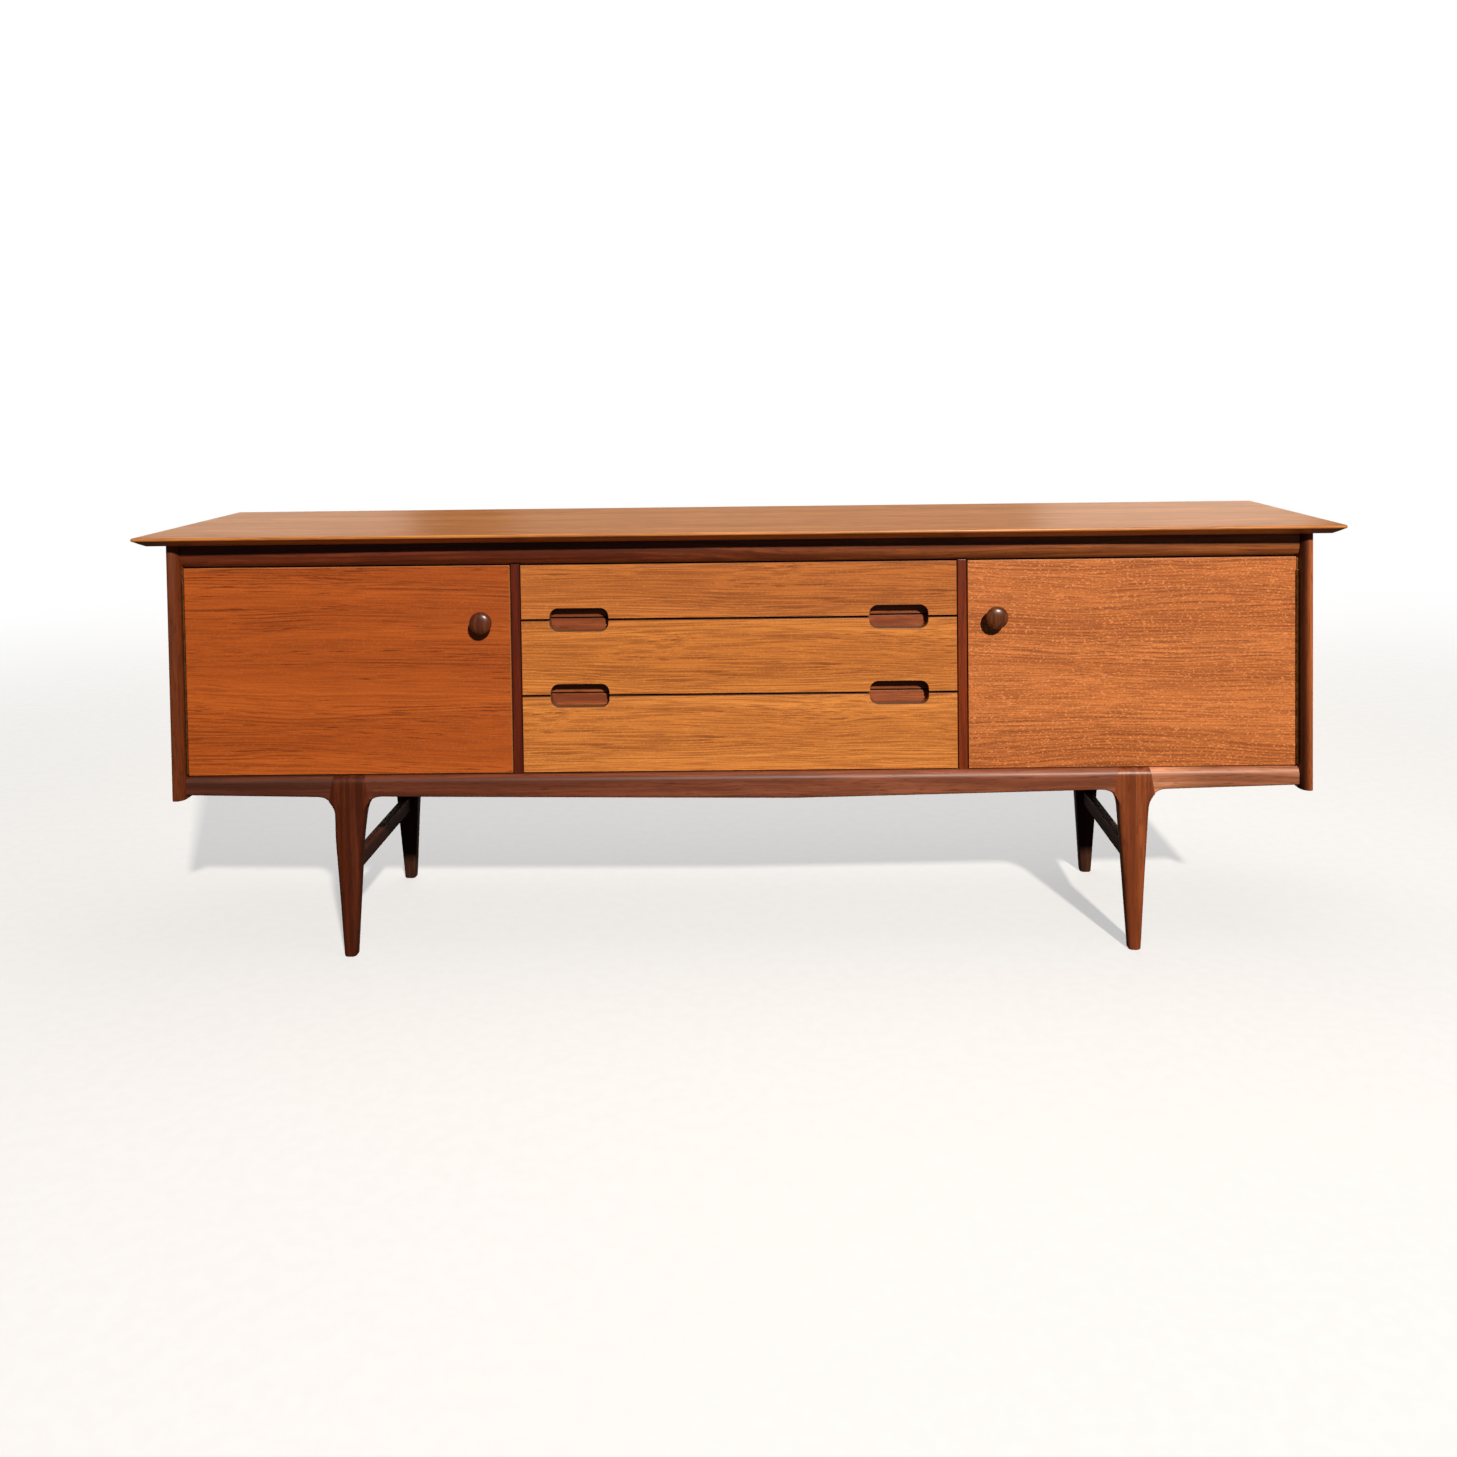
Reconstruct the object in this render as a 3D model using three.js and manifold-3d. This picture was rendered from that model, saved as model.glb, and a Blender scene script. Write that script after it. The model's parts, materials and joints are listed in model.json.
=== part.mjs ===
// A long low teak sideboard: two hinged doors, three drawers between them, tapered legs.
// Millimetres, +Z up. X runs along the length and the front faces -Y.
// The origin is on the floor, under the centre of the top board.

import * as THREE from 'three';
import { mergeVertices } from 'three/addons/utils/BufferGeometryUtils.js';
import Module from 'manifold-3d';

const wasm = await Module();
wasm.setup();

// ---- Driving dimensions ----

const LENGTH = 2130;
const DEPTH = 457;
const HEIGHT = 767;

const TOP_THICK = 16;
const TOP_BEVEL_WIDE = 20;
const TOP_BEVEL_HIGH = 10;
const TOP_NOSE = 6;

const CASE_HALF = 1020; // outer face of each side
const CASE_BACK = 218;
const SIDE_THICK = 20;
const SIDE_BOTTOM = 288;
const LIP_PROUD = 18; // how far the side lippings stand in front of the doors

const FACE_Y = -171.5; // plane of the door and drawer faces
const FRONT_THICK = 20;
const FRONT_BOTTOM = 330;
const FRONT_TOP = 705;
const FRONT_GAP = 2;

const RAIL_PROUD = 6; // rails in front of the doors at their ends
const RAIL_BOW = 7; // extra forward bow at the middle of the length
const RAIL_BACK = -151.5;
const TOP_RAIL_ROUND = 12;
const BOTTOM_RAIL_ROUND = 11;
const APRON_TOP = FRONT_BOTTOM - FRONT_GAP;
const APRON_END = 295; // lower edge of the bottom rail at the sides
const APRON_SHOULDER = 290.5; // and where it meets the legs
const APRON_LOWEST = 282; // and at the point of its shallow V
const APRON_POINT_X = 97;

const DIVIDER_THICK = 16;
const DIVIDER_MID = 400.5;

const LEG_X = 705;
const LEG_HEAD_HALF = 28.5;
const LEG_NECK_HALF = 27.5;
const LEG_NECK_Z = 257;
const LEG_FOOT_HALF = 11;
const LEG_HEAD_DEEP = 40;
const LEG_FOOT_DEEP = 22;
const FILLET_REACH = 60; // from the leg's centre line to the start of the fillet
const REAR_LEG_BACK = 205;

const STRETCHER_BOTTOM = 147;
const STRETCHER_HIGH = 30;
const STRETCHER_WIDE = 18;

const SEAM_GAP = 3;
const SEAM_LOW = 468.25;
const SEAM_HIGH = 605.25;
const DRAWER_HALF = 391;
const DRAWER_SIDE_OUT = 390.5;
const DRAWER_SIDE_THICK = 12;
const DRAWER_BACK_Y = 190;
const DRAWER_LIFT = 10; // drawer sides above the lower edge of their front
const DRAWER_DROP = 12; // and below its upper edge
const DRAWER_BACK_THICK = 12;
const DRAWER_PANEL_THICK = 4;
const DRAWER_PANEL_LIFT = 8; // above the lower edges of the drawer sides
const DRAWER_PANEL_TONGUE = 4.5; // how far the panel enters its grooves
const DRAWER_PANEL_GROOVE = 5;
const DRAWER_PANEL_SLACK = 0.25;
const NOTCH_CLEARANCE = 0.5; // round the pull blocks

const PULL_X = 287;
const PULL_HALF = 52.5;
const PULL_HIGH = 20.5;
const PULL_ROUND = 15;
const BLOCK_HALF = 66;
const BLOCK_HIGH = 28;
const BLOCK_THICK = 16;
const SCOOP_DEEP = 7.5;
const SCOOP_MARGIN = 3;

const RUNNER_HIGH = 10.5;
const RUNNER_TIP = 384.25; // from the middle to a runner's face in its groove
const RUNNER_FRONT_GAP = 8;
const RUNNER_BACK_GAP = 4; // between a drawer's back and the upright battens
const GROOVE_HIGH = 12;
const GROOVE_BED = 382.5;

const KNOB_X = 459;
const KNOB_Z = 605.5;

const PIN_X = 997.5;
const PIN_Y = FACE_Y - 2.5;
const PIN_R = 1;
const PIN_CLEARANCE = 0.3;
const KNUCKLES = 5;
const KNUCKLE_R = 2.3;
const KNUCKLE_GAP = 0.3; // taken off each end of a knuckle
const LEAF_THICK = 1;
const LEAF_INSET = 0.1; // leaf edge behind the face of the door
const LEAF_BACK_GAP = 1;
const HINGE_END_GAP = 2; // hinge ends short of the door's ends

const CATCH_WIDE = 14;
const CATCH_DEEP = 35.4;
const CATCH_HALF = 24;
const CATCH_GAP = 0.6; // between the catch and the back of the door

const SHELF_Z = 512;
const SHELF_THICK = 16;
const SHELF_SETBACK = 20; // behind the doors
const PANEL_THICK = 18;
const BACK_PANEL_THICK = 5;
const BACK_PANEL_Y = 207;

// Places that follow from the driving dimensions.
const topUnder = HEIGHT - TOP_THICK;
const sideInner = CASE_HALF - SIDE_THICK;
const doorOuter = sideInner - 3;
const dividerInner = DIVIDER_MID - DIVIDER_THICK / 2;
const dividerOuter = DIVIDER_MID + DIVIDER_THICK / 2;
const doorInner = dividerOuter + 2;
const frontBack = FACE_Y + FRONT_THICK;
const railTop = FRONT_TOP + FRONT_GAP;
const blockBack = frontBack + BLOCK_THICK;

// ---- Finishes ----

const finish = (color, roughness, metalness = 0) =>
  () => new THREE.MeshStandardMaterial({ color, roughness, metalness });
const teak = finish(0xb56a35, 0.42);
const darkWood = finish(0x6b3420, 0.4);
const paleWood = finish(0xc9a06c, 0.6);
const plywood = finish(0xb98a58, 0.65);
const brass = finish(0xa98544, 0.35, 1);
const steel = finish(0x8d8f92, 0.35, 1);

// ---- Helpers ----

const group = new THREE.Group();

function piece(name, geometry, makeFinish, x = 0, y = 0, z = 0) {
  const mesh = new THREE.Mesh(geometry, makeFinish());
  mesh.name = name;
  mesh.position.set(x, y, z);
  group.add(mesh);
  return mesh;
}

// A box between two corners.
function block(x0, x1, y0, y1, z0, z1) {
  const geometry = new THREE.BoxGeometry(x1 - x0, y1 - y0, z1 - z0);
  return geometry.translate((x0 + x1) / 2, (y0 + y1) / 2, (z0 + z1) / 2);
}

function outline(points) {
  return new THREE.Shape(points.map(([u, v]) => new THREE.Vector2(u, v)));
}

// A shape drawn in Y and Z, run along X from x0 to x1.
function alongX(shape, x0, x1, steps = 1) {
  const options = { depth: x1 - x0, steps, bevelEnabled: false, curveSegments: 6 };
  const geometry = new THREE.ExtrudeGeometry(shape, options);
  const swap = new THREE.Matrix4().set(0, 0, 1, x0, 1, 0, 0, 0, 0, 1, 0, 0, 0, 0, 0, 1);
  return geometry.applyMatrix4(swap);
}

// A shape drawn in X and Z, run along Y from y0 to y1.
function alongY(shape, y0, y1) {
  const options = { depth: y1 - y0, bevelEnabled: false, curveSegments: 6 };
  return new THREE.ExtrudeGeometry(shape, options).rotateX(Math.PI / 2).translate(0, y1, 0);
}

// A shape drawn in X and Y, run along Z from z0 to z1.
function alongZ(shape, z0, z1) {
  const options = { depth: z1 - z0, bevelEnabled: false, curveSegments: 6 };
  return new THREE.ExtrudeGeometry(shape, options).translate(0, 0, z0);
}

function toSolid(geometry) {
  const bare = geometry.clone();
  bare.deleteAttribute('normal');
  bare.deleteAttribute('uv');
  const merged = mergeVertices(bare, 1e-4);
  const vertProperties = new Float32Array(merged.attributes.position.array);
  const triVerts = new Uint32Array(merged.index.array);
  return new wasm.Manifold(new wasm.Mesh({ numProp: 3, vertProperties, triVerts }));
}

function toGeometry(solid) {
  const mesh = solid.getMesh();
  const geometry = new THREE.BufferGeometry();
  geometry.setAttribute('position', new THREE.BufferAttribute(mesh.vertProperties, 3));
  geometry.setIndex(new THREE.BufferAttribute(mesh.triVerts, 1));
  return geometry;
}

const common = (a, b) => toGeometry(toSolid(a).intersect(toSolid(b)));
const cut = (a, b) => toGeometry(toSolid(a).subtract(toSolid(b)));
const join = (first, ...others) =>
  toGeometry(others.reduce((sum, other) => sum.add(toSolid(other)), toSolid(first)));

// ---- Top board ----

// Half of the board's edge: flat top, round nose, then a bevel down to the underside.
// The edge point lies at distance "edge" from the middle; "side" is -1 or 1.
function mouldedEdge(shape, side, edge) {
  const noseR = TOP_NOSE / 2;
  const arcs = 4;
  for (let i = 0; i <= arcs; i += 1) {
    const turn = Math.PI / 2 - (Math.PI * i) / arcs;
    const u = edge - noseR + noseR * Math.cos(turn);
    shape.push([side * u, HEIGHT - noseR + noseR * Math.sin(turn)]);
  }
  shape.push([side * (edge - TOP_BEVEL_WIDE), HEIGHT - TOP_NOSE - TOP_BEVEL_HIGH]);
}

function topBoard() {
  const lengthwise = [];
  mouldedEdge(lengthwise, 1, LENGTH / 2);
  const left = [];
  mouldedEdge(left, -1, LENGTH / 2);
  lengthwise.push(...left.reverse());
  const crosswise = [[DEPTH / 2, HEIGHT], [DEPTH / 2, topUnder]];
  const front = [];
  mouldedEdge(front, -1, DEPTH / 2);
  crosswise.push(...front.reverse());
  const run = alongX(outline(crosswise), -LENGTH / 2 - 1, LENGTH / 2 + 1);
  const ends = alongY(outline(lengthwise), -DEPTH / 2 - 1, DEPTH / 2 + 1);
  piece('top_board', common(run, ends), teak);
}

// ---- Case ----

function sides() {
  for (const [name, side] of [['left', -1], ['right', 1]]) {
    const [x0, x1] = side < 0 ? [-CASE_HALF, -sideInner] : [sideInner, CASE_HALF];
    piece(`side_panel_${name}`, block(x0, x1, FACE_Y, CASE_BACK, SIDE_BOTTOM, topUnder), teak);
    piece(`side_lipping_${name}`, sideLipping(side), darkWood);
  }
}

// Rounded strip on the front edge of a side, softer towards the door than outside.
function sideLipping(side) {
  const front = FACE_Y - LIP_PROUD;
  const outerR = 4;
  const innerR = 11;
  const points = [[side * CASE_HALF, FACE_Y]];
  const corner = (x, y, r, from, to) => {
    const arcs = 5;
    for (let i = 0; i <= arcs; i += 1) {
      const turn = THREE.MathUtils.degToRad(from + ((to - from) * i) / arcs);
      points.push([side * (x + r * Math.cos(turn)), y + r * Math.sin(turn)]);
    }
  };
  corner(CASE_HALF - outerR, front + outerR, outerR, 0, -90);
  corner(sideInner + innerR, front + innerR, innerR, -90, -180);
  points.push([side * sideInner, FACE_Y]);
  return alongZ(outline(points), SIDE_BOTTOM, topUnder);
}

// How far a rail's front face stands forward of its ends at a place along X.
function bow(x) {
  return RAIL_BOW * (1 - (x / sideInner) ** 2);
}

// A rail section run along X with its front face bowed forward.
function bowedRail(section, x0, x1) {
  const steps = 16;
  const geometry = alongX(section, x0, x1, steps);
  const place = geometry.attributes.position;
  const endFront = FACE_Y - RAIL_PROUD;
  for (let i = 0; i < place.count; i += 1) {
    const share = (RAIL_BACK - place.getY(i)) / (RAIL_BACK - endFront);
    place.setY(i, place.getY(i) - share * bow(place.getX(i)));
  }
  return geometry;
}

function topRail() {
  const front = FACE_Y - RAIL_PROUD;
  const section = new THREE.Shape();
  section.moveTo(RAIL_BACK, topUnder);
  section.lineTo(front, topUnder);
  section.lineTo(front, railTop + TOP_RAIL_ROUND);
  section.absarc(front + TOP_RAIL_ROUND, railTop + TOP_RAIL_ROUND, TOP_RAIL_ROUND,
    Math.PI, 1.5 * Math.PI);
  section.lineTo(RAIL_BACK, railTop);
  piece('top_rail', bowedRail(section, -sideInner, sideInner), darkWood);
}

// Section shared by the bottom rail and the leg heads, reaching down to z0.
function apronSection(z0) {
  const front = FACE_Y - RAIL_PROUD;
  const r = BOTTOM_RAIL_ROUND;
  const section = new THREE.Shape();
  section.moveTo(RAIL_BACK, z0);
  section.lineTo(RAIL_BACK, APRON_TOP);
  section.lineTo(front + r, APRON_TOP);
  section.absarc(front + r, APRON_TOP - r, r, Math.PI / 2, Math.PI);
  section.lineTo(front, z0);
  return section;
}

// The fillet between rail and leg is one curve; the slanted joint splits it in the middle.
const filletStart = new THREE.Vector2(FILLET_REACH, APRON_SHOULDER);
const filletPull = new THREE.Vector2(LEG_NECK_HALF + 2, APRON_SHOULDER);
const filletEnd = new THREE.Vector2(LEG_NECK_HALF, LEG_NECK_Z);
const railPull = filletStart.clone().lerp(filletPull, 0.5);
const legPull = filletPull.clone().lerp(filletEnd, 0.5);
const jointEnd = railPull.clone().lerp(legPull, 0.5);

// Draws the rail's end at a leg: "side" is 1 where the leg lies to the left of the end.
function railEndPoints(legX, side) {
  const curve = new THREE.QuadraticBezierCurve(filletStart, railPull, jointEnd);
  const points = curve.getPoints(5).map((p) => [legX + side * p.x, p.y]);
  points.push([legX + side * LEG_HEAD_HALF, APRON_TOP + 1]);
  return points;
}

function bottomRail() {
  const body = (x0, x1) => bowedRail(apronSection(APRON_LOWEST - 40), x0, x1);
  const middle = outline([
    [APRON_POINT_X, APRON_LOWEST],
    ...railEndPoints(LEG_X, -1),
    ...railEndPoints(-LEG_X, 1).reverse(),
  ]);
  const middleSolid = alongY(middle, FACE_Y - 30, RAIL_BACK + 1);
  piece('bottom_rail_middle', common(body(-LEG_X, LEG_X), middleSolid), darkWood);
  for (const [name, side] of [['left', -1], ['right', 1]]) {
    const shape = outline([
      [side * (sideInner + 1), APRON_TOP + 1],
      [side * (sideInner + 1), APRON_END],
      ...railEndPoints(side * LEG_X, side),
    ]);
    const [x0, x1] = side < 0 ? [-sideInner, -LEG_X] : [LEG_X, sideInner];
    const solid = alongY(shape, FACE_Y - 30, RAIL_BACK + 1);
    piece(`bottom_rail_${name}`, common(body(x0, x1), solid), darkWood);
  }
}

function caseInside() {
  const floor = [APRON_TOP - PANEL_THICK, APRON_TOP];
  const panelFront = BACK_PANEL_Y;
  const panelBack = BACK_PANEL_Y + BACK_PANEL_THICK;
  piece('floor_board', block(-sideInner, sideInner, RAIL_BACK, panelFront, ...floor), teak);
  piece('back_panel',
    block(-sideInner, sideInner, panelFront, panelBack, floor[0], topUnder), plywood);
  piece('rear_rail',
    block(-sideInner, sideInner, REAR_LEG_BACK, CASE_BACK, SIDE_BOTTOM, floor[0]), darkWood);
  for (const [name, side] of [['left', -1], ['right', 1]]) {
    const ordered = (a, b) => (side < 0 ? [-b, -a] : [a, b]);
    const [d0, d1] = ordered(dividerInner, dividerOuter);
    piece(`divider_${name}`,
      block(d0, d1, RAIL_BACK, panelFront, APRON_TOP, topUnder), teak);
    piece(`divider_lipping_${name}`,
      block(d0, d1, FACE_Y, RAIL_BACK, APRON_TOP, railTop), darkWood);
    const [s0, s1] = ordered(dividerOuter, sideInner);
    piece(`shelf_${name}`,
      block(s0, s1, RAIL_BACK + SHELF_SETBACK, panelFront, SHELF_Z, SHELF_Z + SHELF_THICK), teak);
    piece(`runner_ladder_${name}`, runnerLadder(side), paleWood);
  }
}

// ---- Legs and stretchers ----

function legOutline() {
  const curve = new THREE.QuadraticBezierCurve(jointEnd, legPull, filletEnd);
  const half = [[LEG_HEAD_HALF, APRON_TOP + 1]];
  curve.getPoints(5).forEach((p) => half.push([p.x, p.y]));
  half.push([LEG_FOOT_HALF, 0]);
  const mirrored = half.map(([x, z]) => [-x, z]).reverse();
  return outline([...half, ...mirrored]);
}

function legs() {
  const front = FACE_Y - RAIL_PROUD - bow(LEG_X);
  const r = BOTTOM_RAIL_ROUND;
  const reach = 2 * FILLET_REACH;
  const profile = new THREE.Shape();
  profile.moveTo(front + LEG_FOOT_DEEP, 0);
  profile.lineTo(RAIL_BACK, APRON_TOP - PANEL_THICK);
  profile.lineTo(RAIL_BACK, APRON_TOP);
  profile.lineTo(front + r, APRON_TOP);
  profile.absarc(front + r, APRON_TOP - r, r, Math.PI / 2, Math.PI);
  profile.lineTo(front, 0);
  const frontLeg = common(
    alongX(profile, -reach, reach),
    alongY(legOutline(), front - 10, RAIL_BACK + 10),
  );
  const rearTop = APRON_TOP - PANEL_THICK;
  const rearProfile = outline([
    [REAR_LEG_BACK, 0],
    [REAR_LEG_BACK, rearTop],
    [REAR_LEG_BACK - LEG_HEAD_DEEP, rearTop],
    [REAR_LEG_BACK - LEG_FOOT_DEEP, 0],
  ]);
  const rearLeg = common(
    alongX(rearProfile, -reach, reach),
    alongY(legOutline(), REAR_LEG_BACK - 60, REAR_LEG_BACK + 10),
  );
  const stretcher = stretcherBetween(front);
  for (const [name, side] of [['left', -1], ['right', 1]]) {
    piece(`leg_front_${name}`, frontLeg.clone(), darkWood, side * LEG_X);
    piece(`leg_rear_${name}`, rearLeg.clone(), darkWood, side * LEG_X);
    piece(`stretcher_${name}`, stretcher.clone(), darkWood, side * LEG_X);
  }
}

// A rail between the front and rear leg, with its ends cut to the legs' slanted faces.
function stretcherBetween(legFront) {
  const gap = 0.3;
  const legTop = APRON_TOP - PANEL_THICK;
  const frontFace = (z) => {
    const foot = legFront + LEG_FOOT_DEEP;
    return foot + ((RAIL_BACK - foot) * z) / legTop + gap;
  };
  const rearFace = (z) => {
    const taper = ((LEG_HEAD_DEEP - LEG_FOOT_DEEP) * z) / legTop;
    return REAR_LEG_BACK - LEG_FOOT_DEEP - taper - gap;
  };
  const upper = STRETCHER_BOTTOM + STRETCHER_HIGH;
  const shape = outline([
    [frontFace(STRETCHER_BOTTOM), STRETCHER_BOTTOM],
    [rearFace(STRETCHER_BOTTOM), STRETCHER_BOTTOM],
    [rearFace(upper), upper],
    [frontFace(upper), upper],
  ]);
  return alongX(shape, -STRETCHER_WIDE / 2, STRETCHER_WIDE / 2);
}

// ---- Doors ----

function doors() {
  for (const [name, side] of [['left', -1], ['right', 1]]) {
    const [x0, x1] = side < 0 ? [-doorOuter, -doorInner] : [doorInner, doorOuter];
    piece(`door_${name}`, block(x0, x1, FACE_Y, frontBack, FRONT_BOTTOM, FRONT_TOP), teak);
    piece(`knob_${name}`, knob(), darkWood, side * KNOB_X, FACE_Y, KNOB_Z);
    piece(`hinge_fixed_leaf_${name}`, hingeFixedLeaf(side), brass);
    piece(`hinge_door_leaf_${name}`, hingeDoorLeaf(side), brass);
    piece(`catch_${name}`, catchBody(side), steel);
  }
}

// A turned mushroom knob, its axis along -Y and its flat base on the door.
function knob() {
  // Radius and height, from the middle of the base to the middle of the crown.
  const profile = [
    [0, 0], [11.5, 0], [10, 5], [10.2, 12], [13, 16.5], [18.4, 19.4],
    [20, 22.6], [19.2, 26], [15.5, 29.3], [9, 31.4], [0, 32],
  ];
  const lathe = new THREE.LatheGeometry(profile.map(([r, h]) => new THREE.Vector2(r, h)), 24);
  return lathe.rotateX(Math.PI);
}

const knuckleLength = (FRONT_TOP - FRONT_BOTTOM) / KNUCKLES;
const hingeEnds = [FRONT_BOTTOM + HINGE_END_GAP, FRONT_TOP - HINGE_END_GAP];

// Lower and upper end of a knuckle, clear of its neighbours and inside the hinge's ends.
function knuckleEnds(index) {
  const z0 = FRONT_BOTTOM + index * knuckleLength + KNUCKLE_GAP;
  const z1 = FRONT_BOTTOM + (index + 1) * knuckleLength - KNUCKLE_GAP;
  return [Math.max(z0, hingeEnds[0]), Math.min(z1, hingeEnds[1])];
}

function tubeOnPin(side, radius, z0, z1) {
  const tube = new THREE.CylinderGeometry(radius, radius, z1 - z0, 12);
  return tube.rotateX(Math.PI / 2).translate(side * PIN_X, PIN_Y, (z0 + z1) / 2);
}

// A leaf between two distances from the middle, with every second knuckle from "first".
function hingeLeaf(side, near, far, first) {
  const [x0, x1] = side < 0 ? [-far, -near] : [near, far];
  const back = frontBack - LEAF_BACK_GAP;
  const parts = [block(x0, x1, FACE_Y + LEAF_INSET, back, ...hingeEnds)];
  for (let i = first; i < KNUCKLES; i += 2) {
    parts.push(block(x0, x1, PIN_Y, back, ...knuckleEnds(i)));
    parts.push(tubeOnPin(side, KNUCKLE_R, ...knuckleEnds(i)));
  }
  return parts;
}

function hingeFixedLeaf(side) {
  const parts = hingeLeaf(side, sideInner - LEAF_THICK, sideInner, 0);
  return join(...parts, tubeOnPin(side, PIN_R, ...hingeEnds));
}

function hingeDoorLeaf(side) {
  const parts = hingeLeaf(side, doorOuter, doorOuter + LEAF_THICK, 1);
  const bore = tubeOnPin(side, PIN_R + PIN_CLEARANCE, FRONT_BOTTOM, FRONT_TOP);
  return cut(join(...parts), bore);
}

function catchBody(side) {
  const far = dividerOuter + CATCH_WIDE;
  const [x0, x1] = side < 0 ? [-far, -dividerOuter] : [dividerOuter, far];
  const front = frontBack + CATCH_GAP;
  return block(x0, x1, front, front + CATCH_DEEP, KNOB_Z - CATCH_HALF, KNOB_Z + CATCH_HALF);
}

// ---- Drawers ----

const drawers = [
  { name: 'top', z0: SEAM_HIGH + SEAM_GAP / 2, z1: FRONT_TOP, pulls: ['low'] },
  { name: 'middle', z0: SEAM_LOW + SEAM_GAP / 2, z1: SEAM_HIGH - SEAM_GAP / 2,
    pulls: ['low', 'high'] },
  { name: 'bottom', z0: FRONT_BOTTOM, z1: SEAM_LOW - SEAM_GAP / 2, pulls: ['high'] },
];

// Half of a round-cornered pull opening, cut into an edge at height z; "up" is 1 or -1.
function notchPoints(x, z, up) {
  const depth = PULL_HIGH - SEAM_GAP / 2;
  const points = [[x - PULL_HALF, z]];
  const arcs = 6;
  const corner = (cx, from, to) => {
    for (let i = 0; i <= arcs; i += 1) {
      const turn = THREE.MathUtils.degToRad(from + ((to - from) * i) / arcs);
      const dz = depth - PULL_ROUND + PULL_ROUND * Math.sin(turn);
      points.push([cx + PULL_ROUND * Math.cos(turn), z + up * dz]);
    }
  };
  corner(x - PULL_HALF + PULL_ROUND, 180, 90);
  corner(x + PULL_HALF - PULL_ROUND, 90, 0);
  points.push([x + PULL_HALF, z]);
  return points;
}

function drawerFront({ z0, z1, pulls }) {
  const points = [[-DRAWER_HALF, z0]];
  if (pulls.includes('low')) {
    points.push(...notchPoints(-PULL_X, z0, 1), ...notchPoints(PULL_X, z0, 1));
  }
  points.push([DRAWER_HALF, z0], [DRAWER_HALF, z1]);
  if (pulls.includes('high')) {
    points.push(...notchPoints(PULL_X, z1, -1).reverse());
    points.push(...notchPoints(-PULL_X, z1, -1).reverse());
  }
  points.push([-DRAWER_HALF, z1]);
  return alongY(outline(points), FACE_Y, frontBack);
}

// A scooped block behind half a pull, open towards the seam; "up" is 1 above the seam.
function pullBlock(x, edge, up) {
  const [z0, z1] = up > 0 ? [edge, edge + BLOCK_HIGH] : [edge - BLOCK_HIGH, edge];
  const body = block(x - BLOCK_HALF, x + BLOCK_HALF, frontBack, blockBack, z0, z1);
  const half = PULL_HALF + SCOOP_MARGIN;
  const deep = PULL_HIGH + SCOOP_MARGIN;
  const [s0, s1] = up > 0 ? [edge - 5, edge + deep] : [edge - deep, edge + 5];
  const scoop = block(x - half, x + half, frontBack - 5, frontBack + SCOOP_DEEP, s0, s1);
  return cut(body, scoop);
}

const grooveMid = ({ z0, z1 }) => (z0 + DRAWER_LIFT + z1 - DRAWER_DROP) / 2;
const panelBottom = ({ z0 }) => z0 + DRAWER_LIFT + DRAWER_PANEL_LIFT;
const drawerInner = DRAWER_SIDE_OUT - DRAWER_SIDE_THICK;

// A drawer side with a runner groove outside and a groove for the bottom panel inside.
function drawerSide(drawer, side) {
  const low = drawer.z0 + DRAWER_LIFT;
  const high = drawer.z1 - DRAWER_DROP;
  const mid = grooveMid(drawer);
  const inner = drawerInner;
  const bed = inner + DRAWER_PANEL_GROOVE;
  const panelLow = panelBottom(drawer) - DRAWER_PANEL_SLACK;
  const panelHigh = panelBottom(drawer) + DRAWER_PANEL_THICK + DRAWER_PANEL_SLACK;
  const points = [
    [DRAWER_SIDE_OUT, low], [DRAWER_SIDE_OUT, mid - GROOVE_HIGH / 2],
    [GROOVE_BED, mid - GROOVE_HIGH / 2], [GROOVE_BED, mid + GROOVE_HIGH / 2],
    [DRAWER_SIDE_OUT, mid + GROOVE_HIGH / 2], [DRAWER_SIDE_OUT, high],
    [inner, high], [inner, panelHigh], [bed, panelHigh],
    [bed, panelLow], [inner, panelLow], [inner, low],
  ];
  return alongY(outline(points.map(([x, z]) => [side * x, z])), frontBack, DRAWER_BACK_Y);
}

// The bottom panel, notched at its front edge where pull blocks stand in its way.
function drawerPanel(drawer) {
  const half = drawerInner + DRAWER_PANEL_TONGUE;
  const points = [[-half, frontBack]];
  if (drawer.pulls.includes('low')) {
    for (const x of [-PULL_X, PULL_X]) {
      const reach = BLOCK_HALF + NOTCH_CLEARANCE;
      const notchBack = blockBack + NOTCH_CLEARANCE;
      points.push([x - reach, frontBack], [x - reach, notchBack]);
      points.push([x + reach, notchBack], [x + reach, frontBack]);
    }
  }
  points.push([half, frontBack], [half, DRAWER_BACK_Y], [-half, DRAWER_BACK_Y]);
  const z0 = panelBottom(drawer);
  return alongZ(outline(points), z0, z0 + DRAWER_PANEL_THICK);
}

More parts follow.
